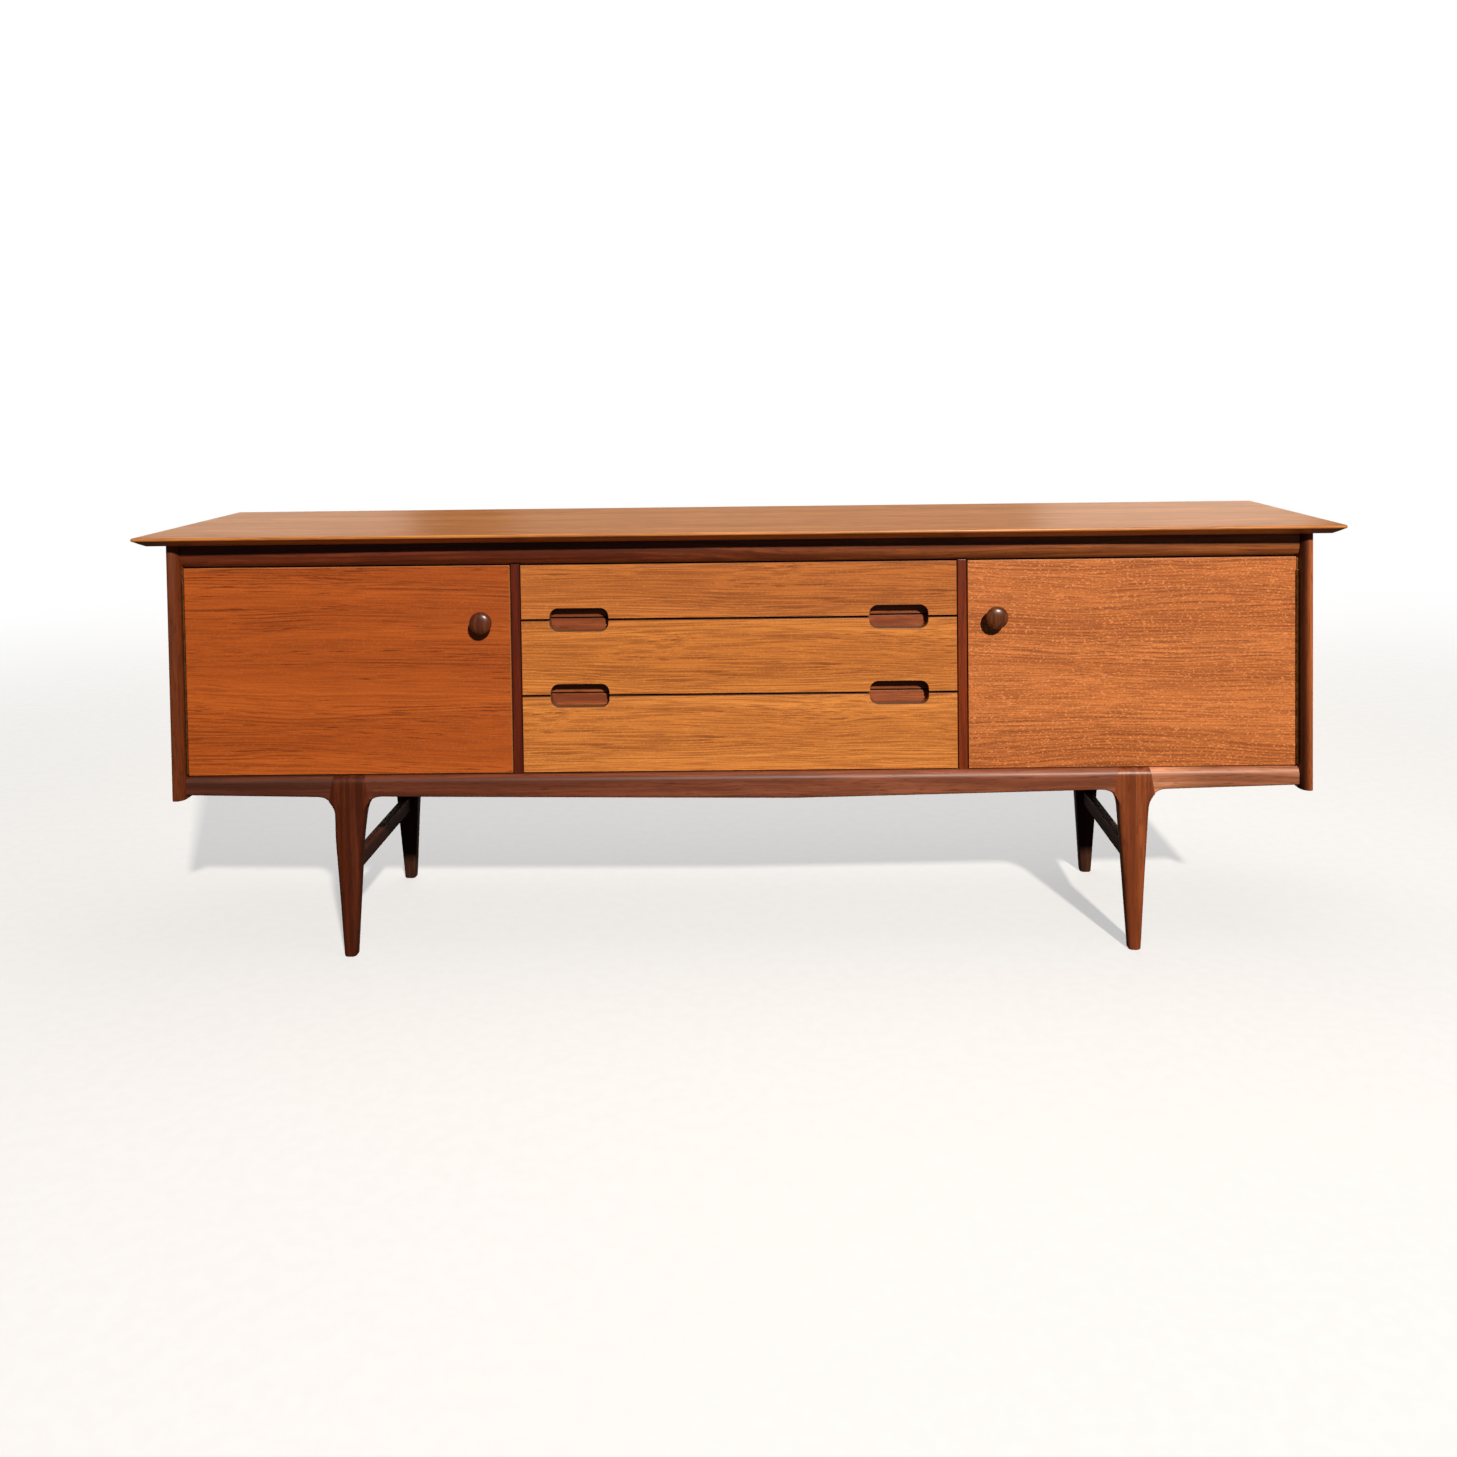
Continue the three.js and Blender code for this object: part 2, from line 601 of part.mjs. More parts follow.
function drawerUnits() {
  for (const drawer of drawers) {
    const label = `drawer_${drawer.name}`;
    const backLow = panelBottom(drawer) + DRAWER_PANEL_THICK + DRAWER_PANEL_SLACK;
    const backHigh = drawer.z1 - DRAWER_DROP;
    const backFront = DRAWER_BACK_Y - DRAWER_BACK_THICK;
    piece(`${label}_front`, drawerFront(drawer), teak);
    piece(`${label}_side_left`, drawerSide(drawer, -1), paleWood);
    piece(`${label}_side_right`, drawerSide(drawer, 1), paleWood);
    piece(`${label}_back`,
      block(-drawerInner, drawerInner, backFront, DRAWER_BACK_Y, backLow, backHigh), paleWood);
    piece(`${label}_panel`, drawerPanel(drawer), plywood);
    for (const level of drawer.pulls) {
      const [edge, up] = level === 'low' ? [drawer.z0, 1] : [drawer.z1, -1];
      piece(`${label}_pull_${level}_left`, pullBlock(-PULL_X, edge, up), darkWood);
      piece(`${label}_pull_${level}_right`, pullBlock(PULL_X, edge, up), darkWood);
    }
  }
}

// Three runner strips on a divider, joined by an upright batten behind the drawers.
function runnerLadder(side) {
  const battenFront = DRAWER_BACK_Y + RUNNER_BACK_GAP;
  const battenBack = BACK_PANEL_Y;
  const stripFront = frontBack + RUNNER_FRONT_GAP;
  const half = RUNNER_HIGH / 2;
  const mids = drawers.map(grooveMid).reverse();
  const points = [[battenBack, mids[0] - half]];
  for (const [i, mid] of mids.entries()) {
    points.push([stripFront, mid - half], [stripFront, mid + half]);
    if (i < mids.length - 1) {
      points.push([battenFront, mid + half], [battenFront, mids[i + 1] - half]);
    }
  }
  points.push([battenBack, mids[mids.length - 1] + half]);
  const [x0, x1] = side < 0 ? [-dividerInner, -RUNNER_TIP] : [RUNNER_TIP, dividerInner];
  return alongX(outline(points), x0, x1);
}

// ---- The whole sideboard ----

topBoard();
sides();
topRail();
bottomRail();
caseInside();
legs();
doors();
drawerUnits();

export default group;
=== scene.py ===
import json
import math

import bmesh
import bpy
from mathutils import Matrix, Vector


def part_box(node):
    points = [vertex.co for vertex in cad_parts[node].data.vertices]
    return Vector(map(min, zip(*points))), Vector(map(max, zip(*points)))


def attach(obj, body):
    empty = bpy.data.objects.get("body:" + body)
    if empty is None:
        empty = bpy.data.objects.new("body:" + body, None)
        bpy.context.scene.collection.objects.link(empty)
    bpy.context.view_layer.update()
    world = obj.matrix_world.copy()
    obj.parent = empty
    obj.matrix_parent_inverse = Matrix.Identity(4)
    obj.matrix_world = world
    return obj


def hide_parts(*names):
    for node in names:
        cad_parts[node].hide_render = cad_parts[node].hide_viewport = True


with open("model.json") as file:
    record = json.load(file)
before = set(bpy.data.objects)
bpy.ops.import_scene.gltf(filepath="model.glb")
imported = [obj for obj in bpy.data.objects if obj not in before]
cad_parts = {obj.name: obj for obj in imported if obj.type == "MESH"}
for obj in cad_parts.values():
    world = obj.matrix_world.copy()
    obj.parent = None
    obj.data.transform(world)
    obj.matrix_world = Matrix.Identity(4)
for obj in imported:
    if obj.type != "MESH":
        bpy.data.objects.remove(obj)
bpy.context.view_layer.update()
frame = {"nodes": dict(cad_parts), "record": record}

bl_info = {
    "name": "Teak Sideboard",
    "version": (1, 0, 0),
    "blender": (4, 5, 0),
    "location": "View3D > Sidebar > Sideboard",
    "description": "A long teak sideboard with two doors, three drawers and tapered legs",
    "category": "Add Mesh",
}

MM = 0.001
BODY_OF = {
    node: body
    for body, nodes in frame["record"]["behaviour"]["bodies"].items()
    for node in nodes
}
SIDES = (("left", -1), ("right", 1))


# ---- Colours ----

def linear(hex_colour):
    """An sRGB hex colour as linear red, green, blue and an alpha of 1."""
    channels = [int(hex_colour[i:i + 2], 16) / 255 for i in (0, 2, 4)]
    return [c / 12.92 if c <= 0.04045 else ((c + 0.055) / 1.055) ** 2.4 for c in channels] + [1]


# ---- Places taken from the frame ----

TOP_LOW, TOP_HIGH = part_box("top_board")
FACE_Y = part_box("door_left")[0].y
SIDE_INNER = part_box("side_panel_right")[0].x
RAIL_LOW, RAIL_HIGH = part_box("top_rail")
APRON_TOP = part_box("bottom_rail_middle")[1].z
LEG_LOW, LEG_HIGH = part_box("leg_front_right")
REAR_LOW, REAR_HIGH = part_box("leg_rear_right")
LEG_X = (LEG_LOW.x + LEG_HIGH.x) / 2
RAIL_BOW = 7 * MM
RAIL_PROUD = FACE_Y - RAIL_LOW.y - RAIL_BOW


# ---- Sizes and looks that a user would change ----

def length_property(name, description, default):
    return bpy.props.FloatProperty(
        name=name, description=description, default=default, unit="LENGTH")


def colour_property(name, description, hex_colour):
    return bpy.props.FloatVectorProperty(
        name=name, description=description, subtype="COLOR", size=4, default=linear(hex_colour))


def light_property(name, description, default):
    return bpy.props.FloatProperty(name=name, description=description, default=default, min=0.0)


class SideboardSizes(bpy.types.PropertyGroup):
    edge_soft: length_property(
        "Board edge radius", "Softened arris on boards, doors and drawer fronts", 1.0 * MM)
    nose_round: length_property(
        "Top nose radius", "Round nose on the top board's edge", 3 * MM)
    nose_bevel: length_property(
        "Under-bevel width", "Width of the bevel under the top's edge", 20 * MM)
    apron_round: length_property(
        "Bottom rail round", "Radius on the bottom rail's upper front edge", 12.5 * MM)
    leg_round: length_property(
        "Leg corner radius", "Rounding of the legs' long corners", 8 * MM)
    knuckle_pitch: length_property(
        "Hinge knuckle pitch", "Distance between knuckles of a piano hinge", 12.5 * MM)


class SideboardColours(bpy.types.PropertyGroup):
    teak_left: colour_property(
        "Teak, left door", "Mean colour of the left door's veneer", "B2571D")
    teak_middle: colour_property(
        "Teak, drawers", "Mean colour of the drawer fronts' veneer", "C87632")
    teak_right: colour_property(
        "Teak, right door", "Mean colour of the right door's veneer", "CC793F")
    teak_top: colour_property(
        "Teak, top", "Mean colour of the top board's veneer", "D28A48")
    edge_teak: colour_property(
        "Teak, cut edges", "Colour of the solid teak lippings", "C07A40")
    frame_wood: colour_property(
        "Dark hardwood", "Mean colour of the shaped frame parts", "7D4129")


class SideboardStage(bpy.types.PropertyGroup):
    key_power: light_property(
        "Key light", "Power of the main light", 2450.0)
    fill_power: light_property(
        "Top light", "Power of the overhead soft light", 30.0)
    back_power: light_property(
        "Back light", "Power of the soft light behind", 12.0)
    low_power: light_property(
        "Low back light", "Power of the low light that fills the back", 70.0)
    ambient: light_property(
        "Ambient", "Strength of the light from all round", 0.05)


def sizes():
    return bpy.context.scene.sideboard_sizes


def colours():
    return bpy.context.scene.sideboard_colours


# ---- Mesh helpers ----

FLAT_ANGLE = 15  # keeps a board's faces truly flat beside its softened arrises


def object_from(name, verts, faces, materials, smooth_angle=35):
    """A closed piece from points and faces, with its normals made to face outwards."""
    mesh = bpy.data.meshes.new(name)
    mesh.from_pydata([tuple(v) for v in verts], [], faces)
    shaped = bmesh.new()
    shaped.from_mesh(mesh)
    bmesh.ops.remove_doubles(shaped, verts=shaped.verts, dist=1e-6)
    bmesh.ops.recalc_face_normals(shaped, faces=shaped.faces)
    return object_from_bmesh(name, shaped, materials, smooth_angle, mesh)


def object_from_bmesh(name, shaped, materials, smooth_angle=35, mesh=None):
    """An object from a finished bmesh, sharp where its faces meet at more than the angle."""
    mesh = mesh or bpy.data.meshes.new(name)
    shaped.to_mesh(mesh)
    shaped.free()
    mesh.name = name
    for material in materials:
        mesh.materials.append(material)
    mesh.polygons.foreach_set("use_smooth", [True] * len(mesh.polygons))
    mesh.set_sharp_from_angle(angle=math.radians(smooth_angle))
    piece = bpy.data.objects.new(name, mesh)
    bpy.context.scene.collection.objects.link(piece)
    return piece


def loft(loops):
    """Points and faces of a closed skin over loops of equal length, with both ends capped."""
    count = len(loops[0])
    verts = [p for loop in loops for p in loop]
    faces = []
    for i in range(len(loops) - 1):
        for j in range(count):
            k = (j + 1) % count
            a = i * count
            b = a + count
            faces.append((a + j, a + k, b + k, b + j))
    faces.append(tuple(range(count))[::-1])
    faces.append(tuple(range(len(verts) - count, len(verts))))
    return verts, faces


def arc(cx, cy, radius, start, end, steps, squash=1.0):
    """Points on an arc in degrees; squash scales its second axis."""
    points = []
    for i in range(steps + 1):
        turn = math.radians(start + (end - start) * i / steps)
        points.append((cx + radius * math.cos(turn), cy + radius * squash * math.sin(turn)))
    return points


def rounded_rectangle(x0, x1, y0, y1, front_r, back_r, steps=4):
    """Corners in order from back right, round by back left and front left."""
    points = arc(x1 - back_r, y1 - back_r, back_r, 0, 90, steps)
    points += arc(x0 + back_r, y1 - back_r, back_r, 90, 180, steps)
    points += arc(x0 + front_r, y0 + front_r, front_r, 180, 270, steps)
    points += arc(x1 - front_r, y0 + front_r, front_r, 270, 360, steps)
    return points


def soft_board(name, low, high, materials, radius=None, segments=2, face_axis=1):
    """A board with softened arrises. Faces not square to face_axis take the second material."""
    radius = sizes().edge_soft if radius is None else radius
    shaped = bmesh.new()
    bmesh.ops.create_cube(shaped, size=1)
    size = high - low
    middle = (low + high) / 2
    bmesh.ops.transform(shaped, matrix=Matrix.LocRotScale(middle, None, size), verts=shaped.verts)
    bmesh.ops.bevel(shaped, geom=shaped.edges[:], offset=radius, segments=segments,
                    profile=0.5, affect="EDGES")
    if len(materials) > 1:
        for face in shaped.faces:
            face.material_index = 0 if abs(face.normal[face_axis]) > 0.99 else 1
    return object_from_bmesh(name, shaped, materials, FLAT_ANGLE)


def set_in_frame(piece, slot, *nodes):
    """Puts a finished piece on the body of the CAD nodes that it stands for."""
    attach(piece, BODY_OF[nodes[0]])
    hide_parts(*nodes)


def paint_cad(node, material):
    """Gives a CAD node's own mesh one material."""
    slots = frame["nodes"][node].data.materials
    slots.clear()
    slots.append(material)


def lofted(node, shape, loops, material, slot="dark_hardwood", smooth_angle=50):
    """A skin over the loops, put in the place of a CAD node and named for its shape."""
    piece = object_from(f"{node}_{shape}", *loft(loops), [material], smooth_angle)
    set_in_frame(piece, slot, node)


def board_for(node, slot, materials, radius=None, face_axis=1):
    """A softened board in the exact place of a CAD board."""
    low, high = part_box(node)
    piece = soft_board(f"{node}_board", low, high, materials, radius, face_axis=face_axis)
    set_in_frame(piece, slot, node)


# ---- Material helpers ----

def add_node(tree, kind, links=None, **settings):
    """Adds a node, sets its properties, and fills or links its inputs."""
    made = tree.nodes.new(kind)
    for key, value in settings.items():
        setattr(made, key, value)
    for socket, value in (links or {}).items():
        if isinstance(value, bpy.types.NodeSocket):
            tree.links.new(value, made.inputs[socket])
        else:
            made.inputs[socket].default_value = value
    return made


def new_material(name):
    material = bpy.data.materials.new(name)
    material.use_nodes = True
    tree = material.node_tree
    tree.nodes.clear()
    shader = add_node(tree, "ShaderNodeBsdfPrincipled")
    add_node(tree, "ShaderNodeOutputMaterial", {"Surface": shader.outputs["BSDF"]})
    return material, tree, shader


def scaled(colour, *factors):
    """A colour times one factor, or times one each for red, green and blue."""
    factors = factors * 3 if len(factors) == 1 else factors
    return [c * k for c, k in zip(colour[:3], factors)] + [1]


WHITE = (1, 1, 1, 1)
GRAIN_TURN = {"x": (0, 0, 0), "y": (0, 0, 90), "z": (0, 90, 0)}


def grain_space(tree, grain, shift, slope=0, book_matched=False):
    """Coordinates in metres with the grain along X, bent a little as real grain is."""
    place = add_node(tree, "ShaderNodeTexCoord").outputs["Object"]
    if book_matched:
        # Moved far from zero, Y and Z stay as they are, and X is folded about the middle.
        moved = add_node(tree, "ShaderNodeVectorMath", {0: place, 1: (0, 9, 9)}, operation="ADD")
        folded = add_node(tree, "ShaderNodeVectorMath", {0: moved.outputs[0]},
                          operation="ABSOLUTE")
        place = folded.outputs[0]
    about_x, about_y, about_z = GRAIN_TURN[grain]
    turn = [math.radians(a) for a in (about_x, about_y + slope, about_z)]
    turned = add_node(tree, "ShaderNodeMapping", {
        "Vector": place, "Location": shift, "Rotation": turn})
    stretched = add_node(tree, "ShaderNodeVectorMath", {
        0: turned.outputs[0], 1: (1.8, 6.0, 6.0)}, operation="MULTIPLY")
    wave = add_node(tree, "ShaderNodeTexNoise", {
        "Vector": stretched.outputs[0], "Scale": 1.0, "Detail": 2.0})
    centred = add_node(tree, "ShaderNodeVectorMath", {
        0: wave.outputs["Color"], 1: (0.5, 0.5, 0.5)}, operation="SUBTRACT")
    bent = add_node(tree, "ShaderNodeVectorMath", {
        0: centred.outputs[0], 1: (0.0, 0.04, 0.04), 2: turned.outputs[0]},
        operation="MULTIPLY_ADD")
    return bent.outputs[0]


def streaks(tree, place, long_mm, wide_mm, detail=2.0, roughness=0.5):
    """A pattern drawn out along the grain: features about long_mm by wide_mm."""
    scale = (1000 / long_mm, 1000 / wide_mm, 1000 / wide_mm)
    stretched = add_node(tree, "ShaderNodeVectorMath", {0: place, 1: scale}, operation="MULTIPLY")
    made = add_node(tree, "ShaderNodeTexNoise", {
        "Vector": stretched.outputs[0], "Scale": 1.0, "Detail": detail, "Roughness": roughness})
    return made.outputs["Fac"]


def growth_rings(tree, place, spacing_mm, wander):
    """Rises from 0 to 1 over each ring and falls back at its late wood."""
    across = add_node(tree, "ShaderNodeSeparateXYZ", {"Vector": place}).outputs["Z"]
    drift = add_node(tree, "ShaderNodeMath", {
        0: streaks(tree, place, 900, 60), 1: wander}, operation="MULTIPLY")
    field = add_node(tree, "ShaderNodeMath", {
        0: across, 1: 1000 / spacing_mm, 2: drift.outputs[0]}, operation="MULTIPLY_ADD")
    rise = add_node(tree, "ShaderNodeMath", {0: field.outputs[0]}, operation="FRACT")
    return rise.outputs[0]


def laid_over(tree, under, over, *patterns, most=1.0, mode="MIX"):
    """Lays a colour over another as far as every pattern allows.

    A pattern comes with the value at which it starts to show and the one where it is full.
    """
    share = most
    for value, start, full in patterns:
        fade = add_node(tree, "ShaderNodeMapRange", {
            "Value": value, "From Min": start, "From Max": full, "To Max": share},
            interpolation_type="SMOOTHSTEP")
        share = fade.outputs["Result"]
    mixed = add_node(tree, "ShaderNodeMix", {0: share, 6: under, 7: over},
                     data_type="RGBA", blend_type=mode)
    return mixed.outputs[2]


def finish_wood(tree, shader, colour, fibres, pores, gloss, depth_mm):
    """Gives the face its colour, a sheen that is duller on the fibres, and sunken pores."""
    tree.links.new(colour, shader.inputs["Base Color"])
    sheen = add_node(tree, "ShaderNodeMapRange", {
        "Value": fibres, "To Min": gloss - 0.07, "To Max": gloss + 0.07})
    tree.links.new(sheen.outputs["Result"], shader.inputs["Roughness"])
    relief = add_node(tree, "ShaderNodeMath", {0: pores, 1: -1.5, 2: fibres},
                      operation="MULTIPLY_ADD")
    bump = add_node(tree, "ShaderNodeBump", {
        "Height": relief.outputs[0], "Strength": 0.25, "Distance": depth_mm * MM})
    tree.links.new(bump.outputs["Normal"], shader.inputs["Normal"])


# ---- Materials ----

def oiled_teak(name, tone, grain="x", shift=(0, 0, 0), lines=0.5, dashes=0.5, flecks=0.1,
               gloss=0.42, slope=0, streaky=1.0, book_matched=False):
    """Crown-cut teak veneer, sanded and oiled: a satin, warm orange-brown face.

    Soft bands come from the growth rings and fine streaks from the fibres. The vessels and the
    late-wood lines are 0.3 to 1 mm wide in the real wood, and are drawn 3 mm wide to show.
    """
    material, tree, shader = new_material(name)
    place = grain_space(tree, grain, shift, slope, book_matched)
    bands = streaks(tree, place, 1300, 60)
    colour = laid_over(tree, scaled(tone, 1.2, 1.22, 1.24), scaled(tone, 0.98, 0.92, 0.86),
                       (bands, 0.34, 0.66))
    soft = streaks(tree, place, 420, 9, 3.0)
    colour = laid_over(tree, colour, scaled(tone, 0.7, 0.6, 0.5), (soft, 0.36, 0.66),
                       most=0.28 * streaky)
    fibres = streaks(tree, place, 190, 2.2, 3.0, 0.6)
    colour = laid_over(tree, colour, scaled(tone, 0.4, 0.29, 0.2), (fibres, 0.42, 0.62),
                       most=0.62 * streaky)
    rings = growth_rings(tree, place, 7.0, 9.0)
    crowd = streaks(tree, place, 1100, 48, 1.0)
    breaks = streaks(tree, place, 200, 3.0)
    colour = laid_over(tree, colour, scaled(tone, 0.4, 0.3, 0.22), (rings, 0.35, 0.8),
                       (rings, 1.0, 0.86), (crowd, 0.42, 0.58), (breaks, 0.36, 0.52), most=lines)
    vessels = streaks(tree, place, 60, 2.0, 1.0)
    porous = streaks(tree, place, 420, 18)
    colour = laid_over(tree, colour, scaled(tone, 0.32, 0.22, 0.16), (vessels, 0.57, 0.67),
                       (porous, 0.46, 0.6), most=dashes)
    pale = streaks(tree, place, 4.5, 2.4, 1.0)
    colour = laid_over(tree, colour, scaled(tone, 1.9, 2.2, 2.8), (pale, 0.56, 0.7), most=flecks)
    dull = streaks(tree, place, 5.5, 2.6, 1.0)
    colour = laid_over(tree, colour, scaled(tone, 0.5, 0.42, 0.34), (dull, 0.56, 0.72),
                       most=flecks)
    finish_wood(tree, shader, colour, fibres, vessels, gloss, 0.15)
    return material


def solid_teak_edge(name, shade=1.0):
    """Solid teak lipping with eased arrises; a shade below 1 darkens it as painted shade."""
    tone = scaled(colours().edge_teak, shade)
    material, tree, shader = new_material(name)
    place = grain_space(tree, "x", (0.3, 0.2, 0.1))
    fibres = streaks(tree, place, 60, 2.0)
    vessels = streaks(tree, place, 30, 1.6, 1.0)
    colour = laid_over(tree, tone, scaled(tone, 0.7, 0.62, 0.55), (fibres, 0.35, 0.65))
    finish_wood(tree, shader, colour, fibres, vessels, 0.48, 0.1)
    return material


def dark_hardwood(name, grain="x", shift=(0, 0, 0), tint=(1, 1, 1), painted_light_right_tint=None,
                  between=(-0.6, 0.6), gloss=0.4, wide_mm=13, specular=0.5):
    """Solid afrormosia, shaped, sanded and oiled: red-brown with long dark streaks.

    A long piece may change from one tint to another between two places along the length, as
    painted light and shade across the piece. Its vessels are drawn 2 mm wide to show. The wood
    underneath is left dry, with a lower specular level.
    """
    material, tree, shader = new_material(name)
    shader.inputs["Specular IOR Level"].default_value = specular
    place = grain_space(tree, grain, shift)
    broad = streaks(tree, place, 620, wide_mm)
    fibres = streaks(tree, place, 90, 2.8, 3.0, 0.65)
    vessels = streaks(tree, place, 26, 2.0, 1.0)
    figure = laid_over(tree, scaled(WHITE, 1.3), scaled(WHITE, 0.72, 0.62, 0.56),
                       (broad, 0.36, 0.62))
    figure = laid_over(tree, figure, scaled(WHITE, 0.45, 0.36, 0.32), (fibres, 0.38, 0.66),
                       most=0.5)
    figure = laid_over(tree, figure, scaled(WHITE, 0.25, 0.2, 0.18), (vessels, 0.58, 0.7),
                       most=0.45)
    tone = scaled(colours().frame_wood, *tint)
    # The second tint paints light and shade along the piece.
    if painted_light_right_tint:
        place = add_node(tree, "ShaderNodeTexCoord").outputs["Object"]
        along = add_node(tree, "ShaderNodeSeparateXYZ", {"Vector": place}).outputs["X"]
        painted_light_right_tone = scaled(colours().frame_wood, *painted_light_right_tint)
        tone = laid_over(tree, tone, painted_light_right_tone, (along, *between))
    colour = laid_over(tree, figure, tone, mode="MULTIPLY")
    finish_wood(tree, shader, colour, fibres, vessels, gloss, 0.15)
    return material


def planed_beech(name, grain="y", shift=(0, 0, 0)):
    """Planed beech for drawer sides and runners: pale, close-grained, thinly lacquered.

    The flecks of its rays are 1 mm wide in the real wood, and are drawn 1.4 mm wide to show.
    """
    material, tree, shader = new_material(name)
    place = grain_space(tree, grain, shift)
    broad = streaks(tree, place, 600, 16, 3.0)
    flecks = streaks(tree, place, 9, 1.4, 1.0)
    colour = laid_over(tree, linear("D2A878"), linear("B98A58"), (broad, 0.3, 0.7))
    colour = laid_over(tree, colour, linear("8E6238"), (flecks, 0.6, 0.72), most=0.4)
    finish_wood(tree, shader, colour, broad, flecks, 0.56, 0.1)
    return material


def raw_plywood(name, grain="x", shift=(0, 0, 0)):
    """Unfinished rotary-cut plywood: broad wandering figure and a dry, dull face."""
    material, tree, shader = new_material(name)
    place = grain_space(tree, grain, shift)
    broad = streaks(tree, place, 800, 26, 3.0)
    fibres = streaks(tree, place, 60, 2.2)
    splits = streaks(tree, place, 35, 1.6, 1.0)
    colour = laid_over(tree, linear("C0935F"), linear("AC7A48"), (broad, 0.36, 0.64))
    colour = laid_over(tree, colour, linear("7F5228"), (fibres, 0.45, 0.7), most=0.4)
    finish_wood(tree, shader, colour, fibres, splits, 0.77, 0.2)
    return material


def aged_metal(name, bright, dull, roughness):
    """Rolled strip that has dulled: brighter where it is rubbed, with blotches of 10 mm."""
    material, tree, shader = new_material(name)
    place = add_node(tree, "ShaderNodeTexCoord").outputs["Object"]
    blotches = add_node(tree, "ShaderNodeTexNoise", {
        "Vector": place, "Scale": 90.0, "Detail": 5.0, "Roughness": 0.6}).outputs["Fac"]
    colour = laid_over(tree, linear(bright), linear(dull), (blotches, 0.38, 0.64))
    tree.links.new(colour, shader.inputs["Base Color"])
    shader.inputs["Metallic"].default_value = 1.0
    sheen = add_node(tree, "ShaderNodeMapRange", {
        "Value": blotches, "From Min": 0.3, "From Max": 0.7,
        "To Min": roughness - 0.1, "To Max": roughness + 0.12})
    tree.links.new(sheen.outputs["Result"], shader.inputs["Roughness"])
    return material


def studio_floor(name):
    """Matt pale paper that fades out into the backdrop a few metres away."""
    material, tree, shader = new_material(name)
    place = add_node(tree, "ShaderNodeTexCoord").outputs["Object"]
    mottle = add_node(tree, "ShaderNodeTexNoise", {"Vector": place, "Scale": 40.0}).outputs["Fac"]
    colour = laid_over(tree, linear("FAFAF9"), linear("F7F6F5"), (mottle, 0.3, 0.7))
    tree.links.new(colour, shader.inputs["Base Color"])
    shader.inputs["Roughness"].default_value = 0.85
    distance = add_node(tree, "ShaderNodeVectorMath", {0: place}, operation="LENGTH")
    clear = add_node(tree, "ShaderNodeBsdfTransparent").outputs[0]
    fade = add_node(tree, "ShaderNodeMapRange", {
        "Value": distance.outputs["Value"], "From Min": 1.5, "From Max": 5.0,
        "To Min": 0.5, "To Max": 1.0}, interpolation_type="SMOOTHSTEP")
    seen = add_node(tree, "ShaderNodeMixShader", {
        0: fade.outputs["Result"], 1: shader.outputs[0], 2: clear})
    # The pale floor throws almost no light back up at the furniture.
    dark = add_node(tree, "ShaderNodeBsdfDiffuse", {"Color": linear("3C3A38")}).outputs[0]
    path = add_node(tree, "ShaderNodeLightPath")
    mixed = add_node(tree, "ShaderNodeMixShader", {
        0: path.outputs["Is Camera Ray"], 1: dark, 2: seen.outputs[0]})
    tree.links.new(mixed.outputs[0], tree.nodes["Material Output"].inputs["Surface"])
    return material


# ---- Top board ----

def top_edge_profile():
    """Inset from the edge and height, from the underside round the nose to the top face."""
    nose = sizes().nose_round
    bevel = sizes().nose_bevel
    under = TOP_LOW.z
    nose_low = TOP_HIGH.z - 2 * nose
    profile = [(bevel + 1.5 * MM, under), (bevel, under)]
    profile += [((bevel + nose) / 2, (under + nose_low) / 2)]
    profile += [(nose - x, TOP_HIGH.z - nose + z) for x, z in arc(0, 0, nose, -90, 90, 10)]
    profile += [(nose + 4 * MM, TOP_HIGH.z)]
    return profile


def build_top():
    """The board is moulded on its front and ends; its back edge is only eased."""
    loops = []
    corner = 7 * MM
    tight = 0.6 * MM
    eased = 0.4 * MM
    back_round = 1.2 * MM
    nose_from = TOP_LOW.z + 8 * MM
    for inset, z in top_edge_profile():
        back = min(inset, back_round) if z > nose_from else eased
        outline = rounded_rectangle(TOP_LOW.x + inset, TOP_HIGH.x - inset, TOP_LOW.y + inset,
                                    TOP_HIGH.y - back, max(corner - inset, tight), tight, 5)
        loops.append([(x, y, z) for x, y in outline])
    veneer = oiled_teak("oiled_teak_top", colours().teak_top, "x", (0.3, 0.1, 0.0), lines=0.3,
                        dashes=0.3, flecks=0, gloss=0.36, book_matched=True)
    lofted("top_board", "moulded", loops, veneer, "teak_veneer", 35)


# ---- Sides ----

# Tints at the left and the right edge of each side's strip. The left strip has one tint. The
# right strip's tints paint shade on its inner side and a painted highlight on its outer corner.
LIPPING_TINTS = {
    "left": ((0.67, 0.58, 0.36), None),
    "right": ((0.33, 0.27, 0.18), (2.2, 2.3, 1.5)),
}


def lipping_outline(side):
    """Plan of the side's front strip: small outer corner, deep elliptical inner corner."""
    low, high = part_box("side_lipping_right")
    outer = 3 * MM
    inner = 16.5 * MM
    deep = 17.5 * MM
    points = [(high.x, high.y)]
    points += arc(high.x - outer, low.y + outer, outer, 0, -90, 6)
    points += arc(low.x + inner, low.y + deep, inner, -90, -180, 14, deep / inner)
    points += [(low.x, high.y)]
    return [(side * x, y) for x, y in points]


# Height above the strip's lower end, and how far its outline is drawn in there.
LIPPING_END = ((0, 0.12), (0.6 * MM, 0.04), (2 * MM, 0))


